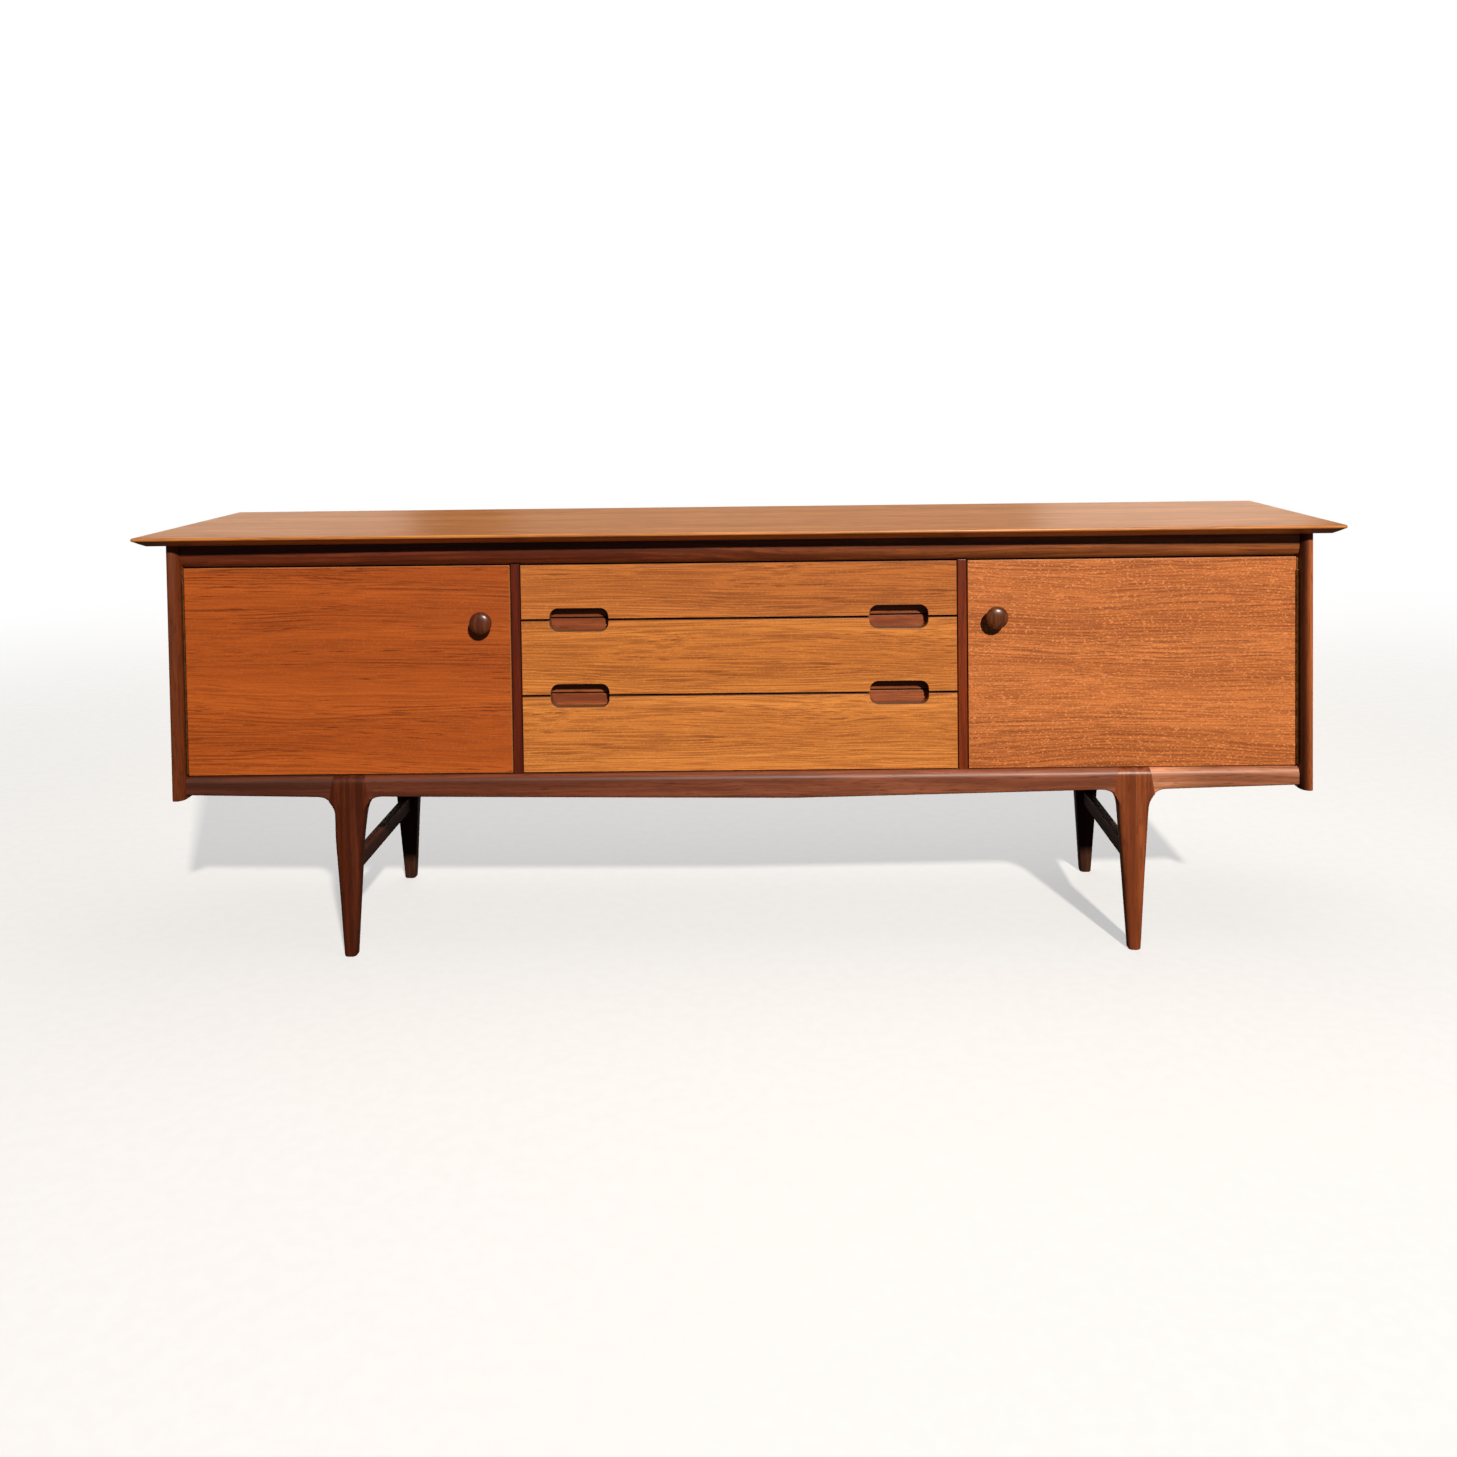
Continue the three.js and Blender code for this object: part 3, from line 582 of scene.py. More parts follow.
def build_sides():
    veneer = oiled_teak("oiled_teak_sides", colours().teak_left, "z", (0.7, 0.2, 0.4))
    # On the right strip, painted shade on the inner side turns to painted light on the outer
    # corner between these places.
    shade_to_lit_span = (SIDE_INNER + 4 * MM, SIDE_INNER + 19 * MM)
    for name, side in SIDES:
        board_for(f"side_panel_{name}", "teak_veneer", [veneer], face_axis=0)
        low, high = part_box(f"side_lipping_{name}")
        outline = lipping_outline(side)
        middle = Vector(((low.x + high.x) / 2, high.y, 0))
        loops = []
        for above, inset in (*LIPPING_END, (high.z - low.z, 0)):
            loops.append([(x + (middle.x - x) * inset, y + (middle.y - y) * inset, low.z + above)
                          for x, y in outline])
        left_tint, painted_light_right_tint = LIPPING_TINTS[name]
        wood = dark_hardwood(f"dark_hardwood_lipping_{name}", "z", (0.2 * side, 0.5, 0.1),
                             left_tint, painted_light_right_tint, shade_to_lit_span, wide_mm=50)
        lofted(f"side_lipping_{name}", "rounded", loops, wood)


# ---- Rails and legs ----

def bow(x):
    """Forward bow of the rails at a place along the length."""
    return RAIL_BOW * (1 - (x / SIDE_INNER) ** 2)


def rail_front(x):
    """Y of the rails' front face at a place along the length."""
    return FACE_Y - RAIL_PROUD - bow(x)


def build_top_rail():
    """Bowed forward, with a deep round underneath."""
    round_deep = 12 * MM
    round_high = 20 * MM
    bottom = RAIL_LOW.z + MM
    loops = []
    stations = 48
    for i in range(stations + 1):
        x = -SIDE_INNER + 2 * SIDE_INNER * i / stations
        front = rail_front(x)
        section = [(RAIL_HIGH.y, RAIL_HIGH.z), (front, RAIL_HIGH.z)]
        section += arc(front + round_deep, bottom + round_high, round_deep, 180, 270, 12,
                       round_high / round_deep)
        section += [(RAIL_HIGH.y, bottom)]
        loops.append([(x, y, z) for y, z in section])
    # Darker and redder at the left and lighter to the right: painted shade and light, partly
    # standing in for the top board's shadow.
    wood = dark_hardwood("dark_hardwood_top_rail", "x", (0.1, 0.3, 0.2), (0.69, 0.5, 0.33),
                         (1.65, 2.0, 1.15), (-0.4, 1.2), wide_mm=8)
    lofted("top_rail", "bowed", loops, wood)


APRON_END = 295 * MM
APRON_LOWEST = 282 * MM
APRON_POINT_X = 97 * MM
FILLET = [Vector((60, 290.5)) * MM, Vector((29.5, 290.5)) * MM, Vector((27.5, 257)) * MM]
LEG_HEAD_HALF = 28.5 * MM
LEG_FOOT_HALF = 11 * MM
LEG_FOOT_DEEP = 22 * MM
LEG_HIGH_Z = 310 * MM
REAR_TAPER = 18 * MM / LEG_HIGH_Z


def halves_of_curve(points):
    """A quadratic curve's control points split at its middle into two quadratic curves."""
    start, pull, end = points
    first = (start + pull) / 2
    second = (pull + end) / 2
    middle = (first + second) / 2
    return (start, first, middle), (middle, second, end)


RAIL_FILLET, LEG_FILLET = halves_of_curve(FILLET)


def along_curve(points, share):
    a, b, c = points
    return a * (1 - share) ** 2 + b * 2 * share * (1 - share) + c * share ** 2


def apron_front(x, z):
    """Front face of the apron and leg heads: a big upper round on a slightly crowned face."""
    radius = sizes().apron_round
    front = rail_front(x)
    above = z - (APRON_TOP - radius)
    if above > 0:
        return front + radius - math.sqrt(max(radius ** 2 - above ** 2, 0))
    return front + 0.9 * MM * smooth_share(-above, 0, 30 * MM)


def apron_loop(low, top):
    """One cross-section of the apron between a lower and an upper edge point (x, z)."""
    edge = 4 * MM
    radius = sizes().apron_round
    heights = [low.y + edge * (1 - math.cos(math.radians(a))) for a in (0, 22, 45, 67, 90)]
    straight_low = heights[-1]
    straight_high = top.y - radius
    heights += [straight_low + (straight_high - straight_low) * i / 4 for i in (1, 2, 3, 4)]
    heights += [straight_high + radius * math.sin(math.radians(a)) for a in range(9, 91, 9)]
    loop = []
    for z in heights:
        share = (z - low.y) / (top.y - low.y)
        x = low.x + (top.x - low.x) * share
        y = apron_front(x, z)
        below = straight_low - z
        if below > 0:
            y += edge - math.sqrt(max(edge ** 2 - below ** 2, 0))
        loop.append((x, y, z))
    loop.append((top.x, RAIL_HIGH.y, top.y))
    loop.append((low.x, RAIL_HIGH.y, low.y))
    return loop


def apron_edge(start, end, shares):
    """Lower and upper edge points of a straight stretch."""
    return [(start[0].lerp(end[0], s), start[1].lerp(end[1], s)) for s in shares]


def leg_end(leg_x, side):
    """Edge points at a leg, from the start of the fillet to the slanted joint."""
    pairs = []
    reach = FILLET[0].x
    for i in range(9):
        share = i / 8
        low = along_curve(RAIL_FILLET, share)
        top_x = reach + (LEG_HEAD_HALF - reach) * share
        pairs.append((Vector((leg_x + side * low.x, low.y)),
                      Vector((leg_x + side * top_x, APRON_TOP))))
    return pairs


# Tints at the left and right end of each length of the bottom rail. They paint light along the
# rail: painted shade growing to the left, and a painted sheen beside the right front leg.
APRON_TINTS = {
    "left": ((0.42, 0.45, 0.53), (0.55, 0.58, 0.62)),
    "middle": ((0.75, 0.75, 0.75), (1.35, 1.62, 1.8)),
    "right": ((3.3, 5.6, 7.0), (2.0, 3.0, 3.5)),
}
APRON_BLENDS = {"left": (-1.0, -0.7), "middle": (-0.6, 0.6), "right": (0.74, 0.86)}


def build_bottom_rail():
    """The middle length has a shallow V underneath, with a softened point."""
    def flat(x, z):
        return Vector((x, z)), Vector((x, APRON_TOP))

    even = [i / 14 for i in range(1, 15)]
    left_end = leg_end(-LEG_X, 1)[::-1]
    right_end = leg_end(LEG_X, -1)
    point = flat(APRON_POINT_X, APRON_LOWEST)
    soft = 14 * MM
    rise = 0.22 * MM
    before = flat(APRON_POINT_X - soft, APRON_LOWEST + rise)
    after = flat(APRON_POINT_X + soft, APRON_LOWEST + rise)
    middle = left_end + apron_edge(left_end[-1], before, even) + [point, after]
    middle += apron_edge(after, right_end[0], even)[:-1] + right_end
    runs = {"middle": middle}
    for name, side in SIDES:
        end = flat(side * SIDE_INNER, APRON_END)
        near_leg = leg_end(side * LEG_X, side)
        runs[name] = [end] + apron_edge(end, near_leg[0], even)[:-1] + near_leg
    for index, (name, pairs) in enumerate(runs.items()):
        loops = [apron_loop(low, top) for low, top in pairs]
        left_tint, painted_light_right_tint = APRON_TINTS[name]
        wood = dark_hardwood(f"dark_hardwood_apron_{name}", "x", (0.4 * index, 0.7, 0.3),
                             left_tint, painted_light_right_tint, APRON_BLENDS[name], gloss=0.45)
        lofted(f"bottom_rail_{name}", "shaped", loops, wood)


def leg_stations(top_z):
    """Half width and height of the leg from the sole to its head."""
    neck = LEG_FILLET[2]
    eased = 2.2 * MM
    stations = [(LEG_FOOT_HALF - 1.6 * MM, 0.0), (LEG_FOOT_HALF - 0.4 * MM, 0.7 * MM)]
    for i in range(17):
        z = eased + (neck.y - eased) * i / 16
        stations.append((LEG_FOOT_HALF + (neck.x - LEG_FOOT_HALF) * z / neck.y, z))
    for i in range(1, 9):
        spot = along_curve(LEG_FILLET, 1 - i / 8)
        stations.append((spot.x, spot.y))
    joint = LEG_FILLET[0]
    radius = sizes().apron_round
    heights = [joint.y + (top_z - radius - joint.y) * i / 4 for i in (1, 2, 3, 4)]
    if top_z > APRON_TOP - MM:
        heights += [top_z - radius + radius * math.sin(math.radians(a)) for a in range(9, 91, 9)]
    else:
        heights += [top_z]
    slope = (LEG_HEAD_HALF - joint.x) / (APRON_TOP - joint.y)
    stations += [(joint.x + slope * (z - joint.y), z) for z in heights]
    return stations


def smooth_share(value, low, high):
    share = min(max((value - low) / (high - low), 0), 1)
    return share * share * (3 - 2 * share)


SHOULDER_FROM = 250 * MM
SHOULDER_TO = 284 * MM
HEAD_CORNER = 0.35 * MM
BACK_CORNER = 5 * MM


def leg_slice(x_mid, half, z, near, far):
    """A cross-section with a crowned, round-cornered face at "near" and a flat one at "far".

    The corners and the crown grow from the foot upwards, and fade out at the square head.
    """
    shoulder = smooth_share(z, SHOULDER_FROM, SHOULDER_TO)
    grown = smooth_share(z, 0, 160 * MM)
    corner = sizes().leg_round * (0.62 + 0.38 * grown) * (1 - shoulder) + HEAD_CORNER * shoulder
    corner = min(corner, half * 0.8)
    crown = (1.2 + 1.3 * grown) * MM * (1 - shoulder)
    sign = 1 if far > near else -1
    deep = abs(far - near)
    back_corner = min(BACK_CORNER, half * 0.6) * (1 - shoulder) + HEAD_CORNER * shoulder
    outline = arc(half - back_corner, deep - back_corner, back_corner, 0, 90, 5)
    outline += arc(-half + back_corner, deep - back_corner, back_corner, 90, 180, 5)
    outline += arc(-half + corner, corner, corner, 180, 270, 8)
    inner = half - corner
    outline += [(-inner + 2 * inner * i / 8, 0) for i in range(1, 8)]
    outline += arc(half - corner, corner, corner, 270, 360, 8)
    loop = []
    for x, y in outline:
        lift = crown * (x / half) ** 2 * (1 - y / deep)
        loop.append((x_mid + x, near + sign * (y + lift), z))
    return loop


LEG_TINTS = {"left": (0.43, 0.31, 0.16), "right": (1.3, 1.26, 0.82)}
# The left front leg stands a little outwards below its head.
LEG_SPLAY = {"left": 4 * MM, "right": 0}
SPLAY_BELOW = 200 * MM


def build_legs():
    """Front legs that run up into the bottom rail, and plain rear legs."""
    for name, side in SIDES:
        x_mid = side * LEG_X
        loops = []
        for half, z in leg_stations(APRON_TOP):
            near = apron_front(LEG_X, z)
            taper = min(z / LEG_HIGH_Z, 1)
            far = rail_front(LEG_X) + LEG_FOOT_DEEP
            far += (RAIL_HIGH.y - far) * taper
            splay = LEG_SPLAY[name] * (1 - smooth_share(z, SPLAY_BELOW, SHOULDER_TO))
            loops.append(leg_slice(x_mid - splay, half, z, near, far))
        wood = dark_hardwood(f"dark_hardwood_front_leg_{name}", "z", (0.31 * side, 0.2, 0.6),
                             LEG_TINTS[name])
        lofted(f"leg_front_{name}", "shaped", loops, wood)
        loops = []
        for half, z in leg_stations(REAR_HIGH.z):
            taper = min(z / REAR_HIGH.z, 1)
            far = REAR_HIGH.y - LEG_FOOT_DEEP
            far -= (far - REAR_LOW.y) * taper
            loops.append(leg_slice(x_mid, half, z, REAR_HIGH.y, far))
        # The very dark tint is painted shade, as the rear legs stand in the case's shadow.
        wood = dark_hardwood(f"dark_hardwood_rear_leg_{name}", "z", (0.17 * side, 0.9, 0.2),
                             (0.3, 0.36, 0.32), gloss=0.6, specular=0.3)
        lofted(f"leg_rear_{name}", "shaped", loops, wood)


def build_stretchers():
    """Rails whose ends are cut to the slanted faces of the legs."""
    corner = 4 * MM
    front_taper = (RAIL_HIGH.y - rail_front(LEG_X) - LEG_FOOT_DEEP) / LEG_HIGH_Z
    for name, side in SIDES:
        low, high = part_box(f"stretcher_{name}")
        outline = rounded_rectangle(low.x, high.x, low.z, high.z, corner, corner, 4)
        loops = []
        for i in range(13):
            share = i / 12
            loop = []
            for x, z in outline:
                start = low.y + (z - low.z) * front_taper
                end = high.y - (z - low.z) * REAR_TAPER
                loop.append((x, start + (end - start) * share, z))
            loops.append(loop)
        # The dark tint is painted shade, as the stretchers lie in the case's shadow.
        wood = dark_hardwood(f"dark_hardwood_stretcher_{name}", "y", (0.3, 0.1 * side, 0.5),
                             (0.3, 0.3, 0.26), gloss=0.75, specular=0.1)
        lofted(f"stretcher_{name}", "rounded", loops, wood)


# ---- Doors and knobs ----

DOOR_FIGURE = {
    "left": {"lines": 0.75, "dashes": 0.75, "flecks": 0.15, "slope": -1.2, "streaky": 0.6},
    "right": {"lines": 0.75, "dashes": 0.5, "flecks": 0.45, "slope": -0.8, "streaky": 0.9},
}


def build_doors():
    """Veneered boards, lipped all round."""
    edge = solid_teak_edge("solid_teak_door_edges")
    for name, side in SIDES:
        shift = (0.9 * side, 0.0, 0.37 + 0.2 * side)
        tone = colours().teak_left if side < 0 else colours().teak_right
        looks = DOOR_FIGURE[name]
        face = oiled_teak(f"oiled_teak_door_{name}", tone, "x", shift, **looks)
        board_for(f"door_{name}", "teak_veneer", [face, edge], radius=0.8 * MM)


def knob_profile():
    """Radius and height of a turned mushroom knob, from its foot to its crown."""
    crown = 32
    outline = [(0, 0), (11.2, 0), (11.4, 0.8), (10.2, 3), (9.6, 6), (9.7, 10), (11.0, 14)]
    outline += [(13.4, 16.2), (16.4, 17.8)]
    outline += arc(16.6, 22.2, 3.4, -62, 40, 8)
    steps = 12
    start = outline[-1]
    for i in range(1, steps + 1):
        share = math.radians(90 * i / steps)
        radius = start[0] * math.cos(share)
        outline.append((radius, start[1] + (crown - start[1]) * math.sin(share) ** 0.9))
    return [(r * MM, h * MM) for r, h in outline]


KNOB_TINTS = {"left": (0.6, 0.65, 0.73), "right": (0.64, 0.75, 0.62)}


def build_knobs():
    around = 48
    for name, side in SIDES:
        wood = dark_hardwood(f"dark_hardwood_knob_{name}", "z", (0.15 * side, 0.4, 0.25),
                             KNOB_TINTS[name], gloss=0.3, wide_mm=7)
        low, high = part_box(f"knob_{name}")
        x_mid = (low.x + high.x) / 2
        z_mid = (low.z + high.z) / 2
        loops = []
        for radius, height in knob_profile()[1:-1]:
            loops.append([(x_mid + radius * math.cos(2 * math.pi * i / around),
                           high.y - height,
                           z_mid + radius * math.sin(2 * math.pi * i / around))
                          for i in range(around)])
        lofted(f"knob_{name}", "turned", loops, wood, smooth_angle=60)


# ---- Rows of small turned metal parts ----

def baked(piece):
    """Turns an object with live modifiers into a plain mesh object of the same name."""
    graph = bpy.context.evaluated_depsgraph_get()
    mesh = bpy.data.meshes.new_from_object(piece.evaluated_get(graph))
    piece.modifiers.clear()
    piece.data = mesh
    return piece


ROW_INPUTS = {
    "Count": "NodeSocketInt",
    "Start": "NodeSocketVector",
    "Step": "NodeSocketVector",
    "Turn": "NodeSocketRotation",
    "Base radius": "NodeSocketFloat",
    "Head radius": "NodeSocketFloat",
    "Length": "NodeSocketFloat",
    "Material": "NodeSocketMaterial",
}


def row_tree():
    """A row of round parts, each standing on its base: knuckles, screw heads or nail heads."""
    tree = bpy.data.node_groups.new("Row of turned parts", "GeometryNodeTree")
    for label, kind in ROW_INPUTS.items():
        tree.interface.new_socket(label, in_out="INPUT", socket_type=kind)
    tree.interface.new_socket("Geometry", in_out="OUTPUT", socket_type="NodeSocketGeometry")
    given = add_node(tree, "NodeGroupInput").outputs
    row = add_node(tree, "GeometryNodeMeshLine", {
        "Count": given["Count"], "Start Location": given["Start"], "Offset": given["Step"]})
    part = add_node(tree, "GeometryNodeMeshCone", {
        "Vertices": 20, "Radius Top": given["Head radius"], "Radius Bottom": given["Base radius"],
        "Depth": given["Length"]})
    copies = add_node(tree, "GeometryNodeInstanceOnPoints", {
        "Points": row.outputs["Mesh"], "Instance": part.outputs["Mesh"],
        "Rotation": given["Turn"]})
    real = add_node(tree, "GeometryNodeRealizeInstances", {"Geometry": copies.outputs[0]})
    finished = add_node(tree, "GeometryNodeSetMaterial", {
        "Geometry": real.outputs[0], "Material": given["Material"]})
    add_node(tree, "NodeGroupOutput", {0: finished.outputs[0]})
    return tree


# Turns that make a part stand on the X axis, on the Y axis or straight up.
ALONG = {
    "left": (0, -math.pi / 2, 0),
    "right": (0, math.pi / 2, 0),
    "back": (-math.pi / 2, 0, 0),
    "up": (0, 0, 0),
}


def row_of_parts(tree, count, start, step, direction, base, head, length, material):
    """One row made by the tree, as a plain mesh object."""
    values = {
        "Count": count, "Start": start, "Step": step, "Turn": ALONG[direction],
        "Base radius": base, "Head radius": head, "Length": length, "Material": material,
    }
    piece = bpy.data.objects.new("row", bpy.data.meshes.new("row"))
    bpy.context.scene.collection.objects.link(piece)
    modifier = piece.modifiers.new("Make", "NODES")
    modifier.node_group = tree
    for item in tree.interface.items_tree:
        if item.in_out == "INPUT":
            modifier[item.identifier] = values[item.name]
    return baked(piece)


def joined(name, pieces, smooth_angle=35):
    """Several meshes as one object."""
    shaped = bmesh.new()
    for piece in pieces:
        shaped.from_mesh(piece.data)
    materials = list(pieces[0].data.materials)
    for piece in pieces:
        bpy.data.objects.remove(piece)
    return object_from_bmesh(name, shaped, materials, smooth_angle)


# ---- Hinges, catches and back ----

LEAF_THICK = MM
KNUCKLE_GAP = 0.5 * MM
KNUCKLE_RADIUS = 2.3 * MM
PIN_X = 997.5 * MM
SCREW_RADIUS = 3 * MM
SCREW_PROUD = 0.35 * MM


def build_hinges():
    """Piano hinges: knuckles of the two leaves take turns on the pin, in front of the gap."""
    brass = aged_metal("aged_brass_strip", "C2935A", "7A522A", 0.36)
    tree = row_tree()
    pitch = sizes().knuckle_pitch
    screws = 5
    for name, side in SIDES:
        for part, first in (("fixed", 0.0), ("door", 1.0)):
            node = f"hinge_{part}_leaf_{name}"
            low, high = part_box(node)
            # The fixed leaf lies against the side, and the other one on the door's edge.
            leans_right = (side > 0) == (part == "fixed")
            x0 = high.x - LEAF_THICK if leans_right else low.x
            x1 = x0 + LEAF_THICK
            plate = soft_board("plate", Vector((x0, FACE_Y + 0.1 * MM, low.z)),
                               Vector((x1, high.y, high.z)), [brass], 0.2 * MM)
            pin_y = low.y + KNUCKLE_RADIUS
            count = int((high.z - low.z) / pitch / 2)
            start = (side * PIN_X, pin_y, low.z + first * pitch + KNUCKLE_GAP / 2)
            knuckles = row_of_parts(tree, count, start, (0, 0, 2 * pitch), "up", KNUCKLE_RADIUS,
                                    KNUCKLE_RADIUS, pitch - KNUCKLE_GAP, brass)
            step = (high.z - low.z) / screws
            screw_x = x0 if leans_right else x1
            start = (screw_x, (FACE_Y + high.y) / 2, low.z + step / 2)
            heads = row_of_parts(tree, screws, start, (0, 0, step),
                                 "left" if leans_right else "right", SCREW_RADIUS,
                                 SCREW_RADIUS * 0.6, SCREW_PROUD, brass)
            piece = joined(f"{node}_brass", [plate, knuckles, heads])
            set_in_frame(piece, "brass", node)


def build_catches():
    """Spring catches screwed to the dividers behind the doors' inner edges."""
    steel = aged_metal("zinc_plated_steel", "C9CBCD", "8E9194", 0.34)
    tree = row_tree()
    for name, side in SIDES:
        node = f"catch_{name}"
        low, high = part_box(node)
        foot = 2 * MM
        inner = low.x if side > 0 else high.x
        x0, x1 = sorted((inner, inner + side * foot))
        plate = soft_board("plate", Vector((x0, low.y, low.z)), Vector((x1, high.y, high.z)),
                           [steel], 0.4 * MM)
        spare = 9 * MM
        case_low = Vector((low.x, low.y, low.z + spare))
        case_high = Vector((high.x, high.y - 6 * MM, high.z - spare))
        case = soft_board("case", case_low, case_high, [steel], 2 * MM, 3)
        start = (inner + side * foot, (low.y + high.y) / 2, low.z + spare / 2)
        step = (0, 0, high.z - low.z - spare)
        heads = row_of_parts(tree, 2, start, step, "right" if side > 0 else "left",
                             SCREW_RADIUS, SCREW_RADIUS * 0.6, 1.2 * MM, steel)
        piece = joined(f"{node}_case", [plate, case, heads])
        set_in_frame(piece, "steel", node)


def build_back():
    """The plywood back, nailed along its edges and to the dividers."""
    ply = raw_plywood("plywood_back", "x", (0.1, 0.2, 0.3))
    board_for("back_panel", "plywood", [ply], radius=0.5 * MM)
    nail = aged_metal("zinc_plated_nails", "B9BBBD", "7E8184", 0.4)
    tree = row_tree()
    low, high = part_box("back_panel")
    inset = 9 * MM
    head = 2.6 * MM
    along = 18
    upright = 5
    step_x = (high.x - low.x - 2 * inset) / (along - 1)
    step_z = (high.z - low.z - 2 * inset) / (upright + 1)
    rows = []
    for z in (low.z + inset, high.z - inset):
        rows.append((along, (low.x + inset, high.y, z), (step_x, 0, 0)))
    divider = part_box("divider_right")
    middle = (divider[0].x + divider[1].x) / 2
    for x in (low.x + inset, -middle, middle, high.x - inset):
        rows.append((upright, (x, high.y, low.z + inset + step_z), (0, 0, step_z)))
    heads = [row_of_parts(tree, *row, "back", head, head * 0.8, 0.7 * MM, nail) for row in rows]
    piece = joined("back_panel_nails", heads)
    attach(piece, BODY_OF["back_panel"])


# ---- Drawers ----

DRAWER_TINTS = {
    "top": (0.97, 0.99, 1.12),
    "middle": (1.09, 1.19, 1.28),
    "bottom": (1.17, 1.33, 1.55),
}
PULL_X = 287 * MM
PULL_HALF = 52.5 * MM
PULL_ROUND = 15 * MM
PULL_DEEP = 19 * MM
SEAM_SLACK = 0.4 * MM
SCOOP_DEEP = 3 * MM
PULL_TINTS = {"low": (1.5, 1.7, 1.2), "high": (1.5, 1.55, 1.2)}


def notch(x, z, up):
    """Half a round-ended pull opening, cut into an edge; the arris at its mouth is eased."""
    ease = 1.2 * MM
    mouth_left = arc(x - PULL_HALF - ease, ease, ease, 270, 360, 4)
    left = arc(x - PULL_HALF + PULL_ROUND, PULL_DEEP - PULL_ROUND, PULL_ROUND, 180, 90, 12)
    right = arc(x + PULL_HALF - PULL_ROUND, PULL_DEEP - PULL_ROUND, PULL_ROUND, 90, 0, 12)
    mouth_right = arc(x + PULL_HALF + ease, ease, ease, 180, 270, 4)
    return [(u, z + up * v) for u, v in mouth_left + left + right + mouth_right]


def front_outline(low, high, at_low, at_high):
    """A drawer front with pulls at its seams, where it is planed a little slack."""
    bottom = low.z + SEAM_SLACK * at_low
    top = high.z - SEAM_SLACK * at_high
    points = [(low.x, bottom)]
    if at_low:
        points += notch(-PULL_X, bottom, 1) + notch(PULL_X, bottom, 1)
    points += [(high.x, bottom), (high.x, top)]
    if at_high:
        points += notch(PULL_X, top, -1)[::-1] + notch(-PULL_X, top, -1)[::-1]
    points += [(low.x, top)]
    return points


def extruded_front(name, outline, y0, y1, materials, radius=0.7 * MM):
    """A panel cut to an outline in X and Z, with its front and back arrises eased."""
    shaped = bmesh.new()
    verts = [shaped.verts.new((x, y0, z)) for x, z in outline]
    face = shaped.faces.new(verts)
    grown = bmesh.ops.extrude_face_region(shaped, geom=[face])
    moved = [v for v in grown["geom"] if isinstance(v, bmesh.types.BMVert)]
    bmesh.ops.translate(shaped, verts=moved, vec=(0, y1 - y0, 0))
    bmesh.ops.recalc_face_normals(shaped, faces=shaped.faces)
    rims = [e for e in shaped.edges if abs(e.verts[0].co.y - e.verts[1].co.y) < 1e-7]
    bmesh.ops.bevel(shaped, geom=rims, offset=radius, segments=2, profile=0.5,
                    affect="EDGES", clamp_overlap=True)
    for each in shaped.faces:
        flat = len(materials) == 1 or abs(each.normal.y) > 0.99
        each.material_index = 0 if flat else 1
    return object_from_bmesh(name, shaped, materials, FLAT_ANGLE)


def pull_block(name, node, material, scoop_deep):
    """A block with a round-cornered recess behind the pull opening, open towards the seam."""
    low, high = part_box(node)
    up = -1 if "high" in node else 1
    seam, far = (high.z, low.z) if up < 0 else (low.z, high.z)
    x_mid = (low.x + high.x) / 2
    # A little larger than the opening all round.
    half = PULL_HALF + 3 * MM
    deep = PULL_DEEP + 4 * MM
    corner = PULL_ROUND + 2 * MM
    eased = 0.3 * MM
    recess = [(x_mid - half, 0)]
    recess += arc(x_mid - half + corner, deep - corner, corner, 180, 90, 12)
    recess += arc(x_mid + half - corner, deep - corner, corner, 90, 0, 12)
    recess += [(x_mid + half, 0)]
    outline = [(low.x, seam)] + [(x, seam + up * v) for x, v in recess]
    outline += [(high.x, seam), (high.x, far), (low.x, far)]
    back_y = low.y + scoop_deep
    rim = extruded_front("rim", outline, low.y, back_y, [material], eased)
    behind = soft_board("behind", Vector((low.x, back_y, low.z)), high, [material], eased)
    return joined(name, [rim, behind], FLAT_ANGLE)


def build_drawers():
    beech = planed_beech("planed_beech_drawers", "y", (0.2, 0.3, 0.1))
    beech_back = planed_beech("planed_beech_backs", "x", (0.5, 0.1, 0.2))
    ply = raw_plywood("plywood_drawer_bottoms", "x", (0.4, 0.2, 0.6))
    # Drawer edges darkened to 0.4: painted shade in the seams and the pull openings.
    edge = solid_teak_edge("solid_teak_drawer_edges", 0.4)
    for index, label in enumerate(DRAWER_TINTS):
        node = f"drawer_{label}_front"
        low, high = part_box(node)
        shift = (0.21 * index, 0.4, 0.13 * index)
        tone = scaled(colours().teak_middle, *DRAWER_TINTS[label])
        face = oiled_teak(f"oiled_teak_drawer_{label}", tone, "x", shift, 0.5, 0.65, 0.14)
        outline = front_outline(low, high, label != "bottom", label != "top")
        piece = extruded_front(f"{node}_cut", outline, low.y, high.y, [face, edge])
        set_in_frame(piece, "teak_veneer", node)
        for side in ("left", "right"):
            paint_cad(f"drawer_{label}_side_{side}", beech)
        board_for(f"drawer_{label}_back", "drawer_wood", [beech_back])
        paint_cad(f"drawer_{label}_panel", ply)


def build_pulls():
    pulls = [node for node in frame["nodes"] if "_pull_" in node]
    for index, node in enumerate(sorted(pulls)):
        tint = PULL_TINTS["low" if "low" in node else "high"]
        wood = dark_hardwood(f"dark_hardwood_{node}", "x", (0.13 * index, 0.2, 0.3), tint)
        piece = pull_block(f"{node}_scooped", node, wood, SCOOP_DEEP)
        set_in_frame(piece, "dark_hardwood", node)


# ---- Inside of the case ----

DIVIDER_TINTS = {"left": (0.52, 0.22, 0.06), "right": (0.97, 0.52, 0.08)}


